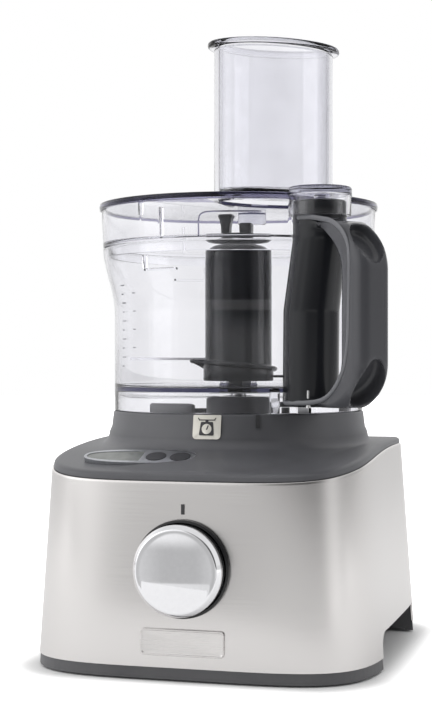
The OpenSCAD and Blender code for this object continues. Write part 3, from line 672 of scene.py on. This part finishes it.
def arc_shape(r0, r1, z0, z1, az, sweep, soft=0.5, steps=14):
    """Rounded block that follows a circle, such as a bayonet lug."""
    section = rounded([(r0, z0, soft), (r1, z0, soft), (r1, z1, soft), (r0, z1, soft)], seg=3)
    cr, cz = (r0 + r1) / 2, (z0 + z1) / 2
    rings = []
    for i in range(steps + 1):
        a = math.radians(az + sweep * (i / steps - 0.5))
        size = 0.75 if i in (0, steps) else 1.0
        rings.append([((cr + (r - cr) * size) * math.cos(a), (cr + (r - cr) * size) * math.sin(a),
                       cz + (z - cz) * size) for r, z in section])
    return skin(rings)


def merged(shapes):
    """Several shapes as one."""
    verts, faces = [], []
    for v, f in shapes:
        faces += [tuple(i + len(verts) for i in face) for face in f]
        verts += v
    return verts, faces


def strip(path, wide, thick, out):
    """Rounded strip on a smooth curve through path points. out(point) is the way its face looks."""
    per = 6
    pts = []
    ends = [path[0]] + list(path) + [path[-1]]
    for i in range(1, len(ends) - 2):
        a, b, c, d = (Vector(ends[i + k]) for k in (-1, 0, 1, 2))
        for k in range(per):
            t = k / per
            pts.append(0.5 * (2 * b + (c - a) * t + (2 * a - 5 * b + 4 * c - d) * t * t
                              + (3 * b - a - 3 * c + d) * t ** 3))
    pts.append(Vector(path[-1]))
    rings = []
    for i, p in enumerate(pts):
        onward = (pts[min(i + 1, len(pts) - 1)] - pts[max(i - 1, 0)]).normalized()
        up = out(p).normalized()
        across = onward.cross(up).normalized()
        size = 0.55 if i in (0, len(pts) - 1) else 1.0
        rings.append([tuple(p + across * (wide / 2 * size * math.cos(a)) + up * (thick / 2 * size * math.sin(a)))
                      for a in (2 * math.pi * j / 12 for j in range(12))])
    return skin(rings)


# ---- the base
steel_wrap()
housing()
for i in range(3):
    make(f"pedestal_lug_{i + 1}", arc_shape(64, 70, 145.2, 151.8, -111 + 120 * i, 26), "base", "dark_plastic")
for name, width in (("base_pan", 0.4), ("display_bezel", 0.35), ("display_window", 0.15), ("cord_inlet", 0.4),
                    ("lower_blade", 0.12), ("upper_blade", 0.12), ("drive_dog", 0.4), ("rubber_feet", 0.3),
                    ("load_cells", 0.2), ("selector_switch", 0.3), ("control_board", 0.1), ("motor_stator", 0.2),
                    ("motor_cradle", 0.2), ("drive_belt", 0.2), ("spindle_pulley", 0.3), ("motor_pulley", 0.2),
                    ("interlock_rod", 0.3), ("interlock_switch", 0.3), ("terminal_block", 0.3), ("grip_insert", 0.4),
                    ("cooling_fan", 0.1), ("power_button", 0.4), ("tare_button", 0.4), ("display_module", 0.1),
                    ("carbon_brushes", 0.2)):
    finish_cad(name, width)
for name in ("motor_rotor", "commutator", "drive_shaft", "knob_shaft", "interlock_plunger", "handle_screws",
             "base_screws", "motor_bushes", "spindle_bushes", "shaft_seal", "lock_mark", "index_mark"):
    finish_cad(name, 0)


def knob():
    """Chrome cap with a gently domed face."""
    r, top, wall = 25.3, 14.2, 2.2
    profile = rounded([(0, top), (r - wall, 13.45, 1.3), (r, 10.8, 1.0), (r, 1.8, 0.5), (r - wall, 1.8, 0.5),
                       (r - wall, 11.4, 0.8), (6.0, 11.4, 0.8), (6.0, 1.8, 0.4), (3.0, 1.8, 0.3), (3.0, 9.9),
                       (0, 9.9)], closed=False, seg=6)
    face_r = r - 3.6
    face = [(q, top - 0.75 * (q / (r - 3.4)) ** 2) for q in np.linspace(1.0, face_r, 14)]
    profile = [(0, top)] + face + [p for p in profile[1:] if p[0] > face_r or p[1] < 13.0]
    make("knob_cap", placed(lathe(profile, 160), on_front(KNOB_Z)), "knob", "knob_chrome", ["control_knob"], 30)


def knob_collar():
    profile = rounded([(9.4, 0.5, 0.3), (9.4, 1.4, 0.3), (25.6, 1.4, 0.2), (25.6, 3.3, 0.3), (27.1, 3.1, 0.5),
                       (27.3, 0.5, 0.2)], seg=4)
    make("knob_collar", placed(lathe(profile, 160), on_front(KNOB_Z)), "base", "trim_black", ["knob_trim"], 30)


def rounded_rect(w, h, r):
    return rounded([(-w / 2, -h / 2, r), (w / 2, -h / 2, r), (w / 2, h / 2, r), (-w / 2, h / 2, r)], seg=8)


def badge():
    """Blank rectangular plate with a raised rim."""
    w, h = 48.2, 14.8
    levels = [(w, h, 2.2, 0.15), (w, h, 2.2, 0.95), (w - 0.5, h - 0.5, 2.0, 1.3), (w - 1.7, h - 1.7, 1.5, 1.3),
              (w - 2.3, h - 2.3, 1.2, 0.85), (w - 3.0, h - 3.0, 1.0, 0.78)]
    rings = [[(x, y, z) for x, y in rounded_rect(a, b, r)] for a, b, r, z in levels]
    make("badge_blank", placed(skin(rings), on_front(BADGE_Z)), "base", "badge_metal", ["badge_plate"], 50)


knob()
knob_collar()
badge()


# ---- kitchen scale pictogram on the label
def on_label(name, outline, lift, thick, slot):
    """Thin patch over the label's place on the pedestal. The outline is (sideways, up) in millimetres."""
    rings = []
    for depth in (lift, lift + thick):
        ring = []
        for u, v in outline:
            r = wall_r(LABEL_Z + v) + depth
            a = math.radians(LABEL_AZ) + u / r
            ring.append((r * math.cos(a), r * math.sin(a), LABEL_Z + v))
        rings.append(ring)
    return make(name, skin(rings), "base", slot, angle=30)


film = on_label("scale_label_film", rounded([(-8.3, -7.2, 2.2), (8.3, -7.2, 2.2), (8.3, 6.6, 0.5), (-8.3, 6.6, 0.5)]),
                0.16, 0.58, "label_silver")
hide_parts("scale_label")
for part, shape in (
        ("body", [(-4.5, -5.0, 0.8), (4.5, -5.0, 0.8), (3.6, 2.7, 0.6), (-3.6, 2.7, 0.6)]),
        ("stem", [(-0.9, 2.6, 0.1), (0.9, 2.6, 0.1), (0.9, 3.5, 0.1), (-0.9, 3.5, 0.1)]),
        ("tray", [(-4.8, 3.45, 0.2), (4.8, 3.45, 0.2), (4.8, 4.05, 0.2), (-4.8, 4.05, 0.2)]),
        ("tray_left", [(-5.5, 4.9, 0.1), (-4.7, 3.6, 0.1), (-4.2, 3.9, 0.1), (-5.1, 5.1, 0.1)]),
        ("tray_right", [(5.5, 4.9, 0.1), (4.7, 3.6, 0.1), (4.2, 3.9, 0.1), (5.1, 5.1, 0.1)])):
    on_label(f"scale_mark_{part}", rounded(shape), 0.85, 0.12, "mark_ink")
on_label("scale_mark_dial", [(x, y) for x, y, _ in circle(2.9, 0, 40, (0.0, -1.35))], 1.1, 0.24, "label_silver")
on_label("scale_mark_needle", rounded([(-0.4, -1.8, 0.1), (0.4, -1.8, 0.1), (1.3, 0.6, 0.1), (0.7, 0.8, 0.1)]),
         1.4, 0.1, "mark_ink")


# ---- bowl
def bowl():
    curve = [(bowl_flare(i / 12), BEND_Z + BEND_H * i / 12) for i in range(1, 13)]
    inside, rim_in = BOWL_R - BOWL_T, 81.8
    profile = rounded(
        [(BOWL_R, 145.8, 0.5), (BOWL_R, BEND_Z), *curve, (84.2, 245.7, 0.8), (rim_in, 245.7, 0.8)]
        + [(r - BOWL_T, z) for r, z in reversed(curve)]
        + [(inside, BEND_Z), (inside, 160.5, 2.0), (11.4, 160.5, 2.0), (11.4, 236, 0.8), (9.0, 236, 0.4),
           (9.0, 158.1, 1.0), (inside, 158.1, 0.8), (inside, 145.8, 0.5)])
    ob = make("bowl_body", lathe(profile, 240), "bowl_unit", "clear_plastic")
    for i in range(3):
        cut(ob, plain("ledge", arc_shape(76.6, 79.9, 229.3, 230.9, -110.5 + 120 * i, 17)), "UNION")
        cut(ob, plain("stop", arc_shape(77.6, 80.6, 230.2, 238.6, -118.6 + 120 * i, 1.3)), "UNION")
    gap = [(60, -4.6), (90, -4.6), (90, 4.6), (60, 4.6)]
    cut(ob, plain("slot", placed(skin([[(x, y, z) for x, y in gap] for z in (144.0, 153.8)]), on_handle())))
    return dress(ob, "bowl_unit", "clear_plastic", ["bowl"], 30)


def graduation():
    """Plain tick marks, long and short in turn, and a second short row beside them."""
    r0, r1, pitch, low = 76.96, 77.12, 5.43, 222
    shapes = [arc_shape(r0, r1, low - pitch * i - 0.4, low - pitch * i + 0.4, -139 + (0 if i % 2 else 0.8),
                        2.4 if i % 2 else 4.0, 0.05, 6) for i in range(10)]
    shapes += [arc_shape(r0, r1, 216.5 - 2 * pitch * i, 217.2 - 2 * pitch * i, -128.6, 2.2, 0.05, 6)
               for i in range(4)]
    make("graduation_marks", merged(shapes), "bowl_unit", "clear_plastic", material=MARKING)


def key_rib():
    section = rounded([(-3.0, 76.6, 0.6), (3.0, 76.6, 0.6), (2.6, 80.2, 1.2), (-2.6, 80.2, 1.2)])
    rings = [[(78.4 + (y - 78.4) * s, x * s, z) for x, y in section]
             for z, s in ((146.0, 0.86), (146.6, 1.0), (159.0, 1.0), (160.6, 0.8))]
    make("bowl_key_rib", placed(skin(rings), turned("Z", -59.5)), "bowl_unit", "clear_plastic")


bowl()
graduation()
key_rib()


# ---- lid
def ellipse(a, b, z, n=160):
    """Feed tube ring: a across the handle's direction, b along it."""
    m = on_handle(43)
    return [tuple(m @ Vector((b * math.cos(2 * math.pi * i / n), a * math.sin(2 * math.pi * i / n), z)))
            for i in range(n)]


def tube(profile, a, b, close_path=True):
    """Elliptical lathe: profile is (offset from the a and b half axes, z)."""
    return skin([ellipse(a + o, b + o, z) for o, z in profile], close_path)


def lid():
    """Flat lid with its skirt, feed tube, the cap over the handle, a boss and the moulding ribs."""
    profile = rounded([(0, 270.6), (83.6, 270.6, 1.2), (81.8, 249, 0.8), (79.6, 247.6, 0.6), (79.6, 240, 0.5),
                       (81.0, 240, 0.5), (81.0, 246.0, 0.3), (84.2, 246.0, 0.5), (85.2, 269.4, 0.3),
                       (85.2, 273.0, 0.3), (0, 273.0)], closed=False)
    ob = make("lid_body", lathe(profile, 240), "lid_unit", "clear_plastic")
    cut(ob, plain("hole", tube([(0, 262), (0, 280)], 36.6, 22.1, close_path=False)))
    room_r, room_z = 16.2, 271.5
    room = [(0, 235), (room_r, 235), (room_r, room_z), (0, room_z)]
    cut(ob, plain("room", placed(lathe(room, 96), on_handle(ROD_X))))
    wall = rounded([(0, 271.4, 0.2), (0, 361.0, 1.1), (-2.4, 361.0, 1.1), (-2.4, 271.0, 0.2)])
    cut(ob, plain("tube", tube(wall, 39.0, 24.5)), "UNION")
    cap = rounded([(0, 275.7), (18.4, 275.7, 1.6), (18.4, 270.3, 0.8), (18.0, 270.3), (18.0, 259, 0.5),
                   (room_r, 259, 0.5), (room_r, room_z, 0.8), (3.5, room_z), (3.5, 264.8, 0.8), (0, 264.8)],
                  closed=False)
    cut(ob, plain("cap", placed(lathe(cap, 96), on_handle(ROD_X))), "UNION")
    boss = rounded([(0, 262.6), (9, 262.6, 1.2), (9, 271.2), (0, 271.2)], closed=False)
    cut(ob, plain("boss", lathe(boss, 64, (3.0, 22.4))), "UNION")
    for az, low, high in ((-108, 248.5, 265.5), (12, 248.5, 265.5), (132, 248.5, 265.5), (-119, 262, 270.9)):
        cut(ob, plain("rib", arc_shape(80.6, 83.4, low, high, az, 1.0)), "UNION")
    return dress(ob, "lid_unit", "clear_plastic", ["lid"], 30)


def lid_edges():
    """The lid's rim and the moulded edge of its locking tab, dark violet: the violet is the plastic's own tint where
    thick, the darkness painted shade.
    """
    rim = rounded([(85.26, 269.0, 0.4), (86.3, 269.0, 0.6), (86.6, 271.2, 0.7), (86.3, 273.0, 0.8),
                   (85.26, 273.0, 0.4)])
    make("lid_rim", lathe(rim, 240), "lid_unit", "clear_plastic", material=RIM_PAINTED_SHADE)
    line = [(-91, 247.5), (-91, 252), (-91, 257), (-90.4, 260), (-88.4, 261.6), (-84, 262), (-76, 262), (-66, 262)]
    path = [(82.6 * math.cos(math.radians(a)), 82.6 * math.sin(math.radians(a)), z) for a, z in line]
    make("lid_tab_edge", strip(path, 0.9, 0.9, lambda q: Vector((q.x, q.y, 0))), "lid_unit", "clear_plastic",
         material=RIM_PAINTED_SHADE)


lid()
lid_edges()


def pusher():
    """Oval cup: its outline is (offset from the cup's wall, z), and the ends close the floor's middle."""
    floor_mid = -34
    outline = rounded([(floor_mid, 277.2), (-2.0, 277.2, 1.6), (-2.0, 363.2, 0.9), (-0.4, 364.7, 0.5),
                       (6.7, 364.7, 1.2), (6.7, 361.4, 1.2), (0.0, 361.4, 0.6), (0.0, 275.2, 2.0),
                       (floor_mid, 275.2)], closed=False)
    rings = [ellipse(2.1, 0.6, z) if off == floor_mid else ellipse(36.1 + off, 21.6 + off, z) for off, z in outline]
    make("pusher_cup", skin(rings), "pusher_unit", "clear_plastic", ["pusher"], 30)


pusher()


# ---- blade unit
def hub():
    profile = rounded([(12.2, 170.4, 0.4), (20.8, 170.4, 0.6), (20.8, 234), (20.6, 245), (19.6, 250.5, 4.2),
                       (9.5, 250.5, 0.8), (9.5, 255.2, 0.8), (5.2, 255.2, 0.4), (5.2, 242), (12.2, 239.5, 0.5)],
                      seg=8)
    make("hub_body", lathe(profile, 128), "spindle", "hub_plastic", ["blade_hub"], 40)


def prong(name, x0, x1, z0, z1, taper):
    """Lug on the hub's top, whose width grows by taper towards its end."""
    section = rounded([(x0, -4, 1.2), (x1, -4, 1.2), (x1, 4, 1.2), (x0, 4, 1.2)])
    cx = (x0 + x1) / 2
    rings = [[(cx + (x - cx) * s, y * min(s, 1), z) for x, y in section]
             for z, s in ((z0, 0.92), (z0 + (z1 - z0) * 0.45, 1.0), (z0 + (z1 - z0) * 0.75, 1 + (taper - 1) * 0.5),
                          (z1 - 1.2, taper), (z1, taper * 0.85))]
    make(name, skin(rings), "spindle", "hub_plastic")


def collar():
    """Ring under the hub with a ledge that climbs once round it to the upper blade's root."""
    rings = []
    n, climb, lip = 120, 6.6, 6.3
    for i in range(n):
        turn = i / n
        a = math.radians(-164.2 + 360 * turn)
        top = 177.4 - climb * min(turn / 0.62, 1) + climb * max(0, (turn - 0.90) / 0.10)
        reach = 24.2 + sum(lip * math.exp(-((turn - root) / 0.05) ** 2) for root in (0.02, 1.02))
        line = [(12.3, 163.5), (21.6, 163.5), (21.9, 164.2), (21.9, top - 3.0), (reach - 0.8, top - 2.6),
                (reach, top - 1.9), (reach + 0.1, top - 0.7), (reach - 0.6, top), (22.2, top - 0.5),
                (20.9, top + 0.6), (20.9, 170.3), (12.3, 170.3)]
        rings.append([(r * math.cos(a), r * math.sin(a), z) for r, z in line])
    make("spiral_collar", skin(rings, close_path=True), "spindle", "hub_plastic", ["blade_collar"], 40)


hub()
collar()
prong("hub_prong_tall", -10.6, -5.0, 254.2, 268.0, 1.7)
prong("hub_prong_short", 1.3, 8.9, 254.2, 262.0, 1.0)


# ---- handle
def box_field(px, pz, x0, x1, z0, z1, r):
    """Signed distance to a rectangle with rounded corners, in the handle's side view."""
    qx = np.abs(px - (x0 + x1) / 2) - (x1 - x0) / 2 + r
    qz = np.abs(pz - (z0 + z1) / 2) - (z1 - z0) / 2 + r
    return np.hypot(np.maximum(qx, 0), np.maximum(qz, 0)) + np.minimum(np.maximum(qx, qz), 0) - r


# hollows in the grip's outer corners: centre height, way, half length and depth of the floor
SCOOPS = ((239.0, 1, 14.5, 2.5), (166.0, -1, 16.0, 3.8))


def handle_field(x, y, z):
    """Signed size of the handle in its own frame: x outwards, y sideways, z up."""
    lean = np.interp(z, [150, 205, 246, 270], [83.2, 84.2, 93, 93])
    rad = np.interp(z, [150, 205, 246, 270], [16.2, 16.2, 15.4, 15.4])
    column = smax(np.hypot(x - lean, y) - rad, np.abs(z - 209) - 59, 1.6)
    raised = z + np.clip(x - 88, 0, 65) * 0.13 * np.clip((z - 150) / 108, 0, 1)
    outer = box_field(x, raised, 84, 149, 150.3, 258.3, 27)
    inner = box_field(x, raised, 68, 128, 153.4, 254.4, 26)
    loop = smax(smax(outer, -inner, 1.2), np.abs(y) - 11, np.interp(x, [118, 134], [2.0, 8.0]))
    solid = smin(column, loop, 2.5)
    for cz, way, length, floor_at in SCOOPS:
        along = ((x - 137) + (z - cz) * way) * math.sqrt(0.5)
        across = ((x - 137) - (z - cz) * way) * math.sqrt(0.5)
        oval = (np.hypot(across / length, y / 8.8) - 1) * 8.8
        solid = smax(solid, -smax(oval, -floor_at - along, 4.0), 1.0)
    # clearance to the bowl's wall
    wall = bowl_flare(np.clip((z - BEND_Z) / BEND_H, 0, 1))
    solid = smax(solid, wall + 0.1 - np.hypot(x, y), 0.6)
    # bore of the interlock rod and the room for its spring and foot
    from_rod = np.hypot(x - ROD_X, y)
    solid = smax(solid, 3.3 - from_rod, 0.3)
    solid = smax(solid, -smax(from_rod - 5.7, 240 - z, 0.3), 0.3)
    foot = np.maximum(np.maximum(np.abs(y) - 4.5, z - 156.1), x - 96.4)
    return smax(solid, -foot, 0.3)


handle_shape = implicit(handle_field, (68, -17, 148), (152, 17, 270), 1.0)
make("handle_body", placed(handle_shape, on_handle()), "bowl_unit", "handle_plastic", ["handle"], 45)

# painted highlight: a lighter grey strip that follows the loop, on the side towards the display
EDGE = [(93.1, -15.3, 257.6), (102.6, -13.2, 257.4), (111.4, -11.4, 255.9), (119.5, -11.1, 254.4),
        (126.7, -11.0, 251.4), (132.5, -10.9, 247.0), (136.4, -10.8, 241.8), (138.4, -10.8, 235.0),
        (138.6, -10.8, 222.0), (138.0, -10.8, 205.0), (137.2, -10.8, 188.0), (134.2, -10.9, 174.5),
        (128.8, -11.0, 165.9), (121.0, -11.1, 158.6), (112.2, -11.2, 154.6), (101.0, -11.6, 152.9),
        (91.2, -14.0, 152.4), (84.0, -15.9, 152.2), (77.4, -14.8, 152.4)]
make("handle_edge", placed(strip(EDGE, 2.8, 1.5, lambda q: Vector((0, -1, 0))), on_handle()), "bowl_unit",
     "handle_plastic", material=EDGE_HIGHLIGHT)


def spring():
    """Return spring round the interlock rod, built at one length; the real spring shortens as the rod goes down."""
    low, high, wire, coil, turns, steps = 240.2, 263.9, 0.6, 4.4, 6, 168
    rings = []
    for i in range(steps + 1):
        t = i / steps
        climb = min(max((t - 0.14) / 0.72, 0), 1)
        z = low + wire * (1 + 2 * t) + (high - low - 4 * wire) * climb
        a = 2 * math.pi * turns * t
        rings.append([((coil + wire * math.cos(b)) * math.cos(a) + ROD_X, (coil + wire * math.cos(b)) * math.sin(a),
                       z + wire * math.sin(b)) for b in (2 * math.pi * j / 10 for j in range(10))])
    ob = make("return_spring", placed(skin(rings), on_handle()), "bowl_unit", "spring_steel", ["rod_spring"], 60)
    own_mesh(ob)


spring()


# ---- stage, light and camera
AZ = math.radians(15.8)
right = Vector((math.cos(AZ), math.sin(AZ), 0))
ahead = Vector((-math.sin(AZ), math.cos(AZ), 0))


def area(name, place, aim, size, power):
    """Soft rectangular light that gives no mirror image of itself."""
    light = bpy.data.lights.new(name, "AREA")
    light.shape = "RECTANGLE"
    light.size, light.size_y = size
    light.energy = power
    ob = linked(name, light)
    ob.location = place
    ob.rotation_mode = "QUATERNION"
    ob.rotation_quaternion = (aim - place).to_track_quat("-Z", "Y")
    ob.visible_glossy = False


def floor():
    """Pale table top that ends a little in front of the machine."""
    me = bpy.data.meshes.new("floor")
    n, half, front, back, below = 24, 6.0, 0.36, 6.0, 0.0004
    pts = []
    for j in range(n + 1):
        for i in range(n + 1):
            p = right * (half * (2 * i / n - 1)) + ahead * (-front + (front + back) * j / n)
            pts.append((p.x, p.y, -below))
    quads = [(j * (n + 1) + i, j * (n + 1) + i + 1, (j + 1) * (n + 1) + i + 1, (j + 1) * (n + 1) + i)
             for j in range(n) for i in range(n)]
    me.from_pydata(pts, [], quads)
    ob = linked("floor", me)
    m, tree, p = shader("floor_white")
    v = coords(tree)
    tree.links.new(ramp(tree, noise(tree, v, 3.0), [(0.3, (0.80, 0.80, 0.80)), (0.7, (0.82, 0.82, 0.82))]),
                   p.inputs["Base Color"])
    p.inputs["Roughness"].default_value = 0.8
    p.inputs["Specular IOR Level"].default_value = 0.1
    p.inputs["Emission Color"].default_value = (1, 1, 1, 1)
    # the glow fades round the base: a painted contact shadow
    spot = vector_math(tree, "ADD", v, (0, 0.005, 0))
    for kind, value in (("ABSOLUTE", None), ("SUBTRACT", (0.0675, 0.080, 0)), ("MAXIMUM", (0, 0, 0)),
                        ("LENGTH", None)):
        spot = vector_math(tree, kind, spot, value)
    glow_and_painted_shadow = value_range(tree, spot, lo=0.031, hi=0.058, how="SMOOTHSTEP")
    ray = tree.nodes.new("ShaderNodeLightPath")
    tree.links.new(mix(tree, ray.outputs["Is Camera Ray"], 0.10, glow_and_painted_shadow), p.inputs["Emission Strength"])
    me.materials.append(m)


floor()
centre = Vector((0, 0, 0.18))
area("soft_left", centre - right * 1.25 - ahead * 0.35 + Vector((0, 0, 0.45)), centre, (0.9, 1.5), 5)
area("soft_right", centre + right * 1.35 - ahead * 0.15 + Vector((0, 0, 0.35)), centre, (0.6, 1.4), 4.5)
area("soft_top", centre + Vector((0, 0, 1.5)) + ahead * 0.2, centre, (1.6, 1.6), 6)

# studio surroundings: brightness against the compass angle, 0 towards the camera, minus to its left,
# above the horizon, around it and below it
ABOVE = ((-180, 0.98), (-125, 0.90), (-105, 0.8), (-88, 1.4), (-64, 1.4), (-47, 1.1), (-38, 1.0), (-29, 0.85),
         (-22, 0.28), (-12, 0.12), (30, 0.08), (42, 0.14), (52, 0.45), (62, 0.75), (76, 0.70), (88, 0.40),
         (125, 0.45), (140, 0.90), (180, 0.98))
LEVEL = ((-180, 0.92), (-125, 0.50), (-100, 0.28), (-80, 0.50), (-52, 1.15), (-41, 0.66), (-36, 0.52),
         (-28, 0.52), (-22, 0.72), (40, 0.76), (52, 1.25), (68, 1.25), (80, 0.55), (97, 0.32), (124, 0.40),
         (140, 0.85), (180, 0.92))
BELOW = ((-180, 0.92), (-125, 0.50), (-100, 0.28), (-80, 0.50), (-52, 1.15), (-38, 0.90), (-24, 0.78),
         (40, 0.78), (52, 1.25), (68, 1.25), (80, 0.55), (97, 0.32), (124, 0.40), (140, 0.85), (180, 0.92))
DEEP = ((-180, 0.90), (-60, 0.90), (-35, 0.12), (48, 0.12), (65, 0.90), (180, 0.90))
OVERHEAD, OPEN_AIR, THROUGH_CLEAR = 0.80, 1.0, 0.68


def studio():
    world = bpy.data.worlds.new("studio")
    bpy.context.scene.world = world
    world.use_nodes = True
    tree = world.node_tree
    way = tree.nodes.new("ShaderNodeTexCoord").outputs["Generated"]

    def math_node(operation, a, b):
        n = node(tree, "ShaderNodeMath", operation=operation)
        for socket, v in zip(n.inputs, (a, b)):
            if isinstance(v, float):
                socket.default_value = v
            else:
                tree.links.new(v, socket)
        return n.outputs["Value"]

    def rising(lo, hi, to_lo=0.0, to_hi=1.0):
        return value_range(tree, height, to_lo, to_hi, lo, hi, "SMOOTHSTEP")

    height = vector_math(tree, "DOT_PRODUCT", way, (0, 0, 1))
    turn = math_node("ARCTAN2", vector_math(tree, "DOT_PRODUCT", way, right),
                     vector_math(tree, "DOT_PRODUCT", way, -ahead))
    share = value_range(tree, turn, lo=-math.pi, hi=math.pi)
    upper, middle, lower, deep = (ramp(tree, share, [((a + 180) / 360, (v, v, v * 1.01)) for a, v in table])
                                  for table in (ABOVE, LEVEL, BELOW, DEEP))
    side = mix(tree, rising(-0.25, -0.20), deep, lower)
    side = mix(tree, rising(-0.185, -0.179), side, middle)
    side = mix(tree, rising(-0.06, 0.0), side, upper)
    side = math_node("MULTIPLY", side, rising(0.07, 0.12, 1.0, 1.18))
    side = mix(tree, rising(0.5, 0.85), side, OVERHEAD)
    # brighter for rays that went straight through clear plastic, and even behind the object
    path = tree.nodes.new("ShaderNodeLightPath").outputs
    straight = math_node("LESS_THAN", path["Glossy Depth"], 0.5)
    through = math_node("MULTIPLY", path["Is Transmission Ray"], math_node("MULTIPLY", straight, THROUGH_CLEAR))
    side = mix(tree, through, side, OPEN_AIR)
    bg = tree.nodes["Background"]
    tree.links.new(mix(tree, path["Is Camera Ray"], side, OPEN_AIR), bg.inputs["Color"])
    bg.inputs["Strength"].default_value = 1.0


def camera():
    """Level view of the front, turned a little to the handle's side. Lens and shift go by the frame's height."""
    frame_h = 721
    data = bpy.data.cameras.new("camera")
    cam = linked("camera", data)
    cam.location = (right * -14 - ahead * 962) * MM + Vector((0, 0, 0.179))
    cam.rotation_euler = (math.radians(90), 0, AZ)
    data.sensor_width = 36.0
    data.lens = data.sensor_width * 1540 / frame_h
    data.shift_y = -4.2 / frame_h
    data.clip_start, data.clip_end = 0.01, 50
    bpy.context.scene.camera = cam


studio()
camera()
bpy.context.scene.view_settings.view_transform = "Standard"
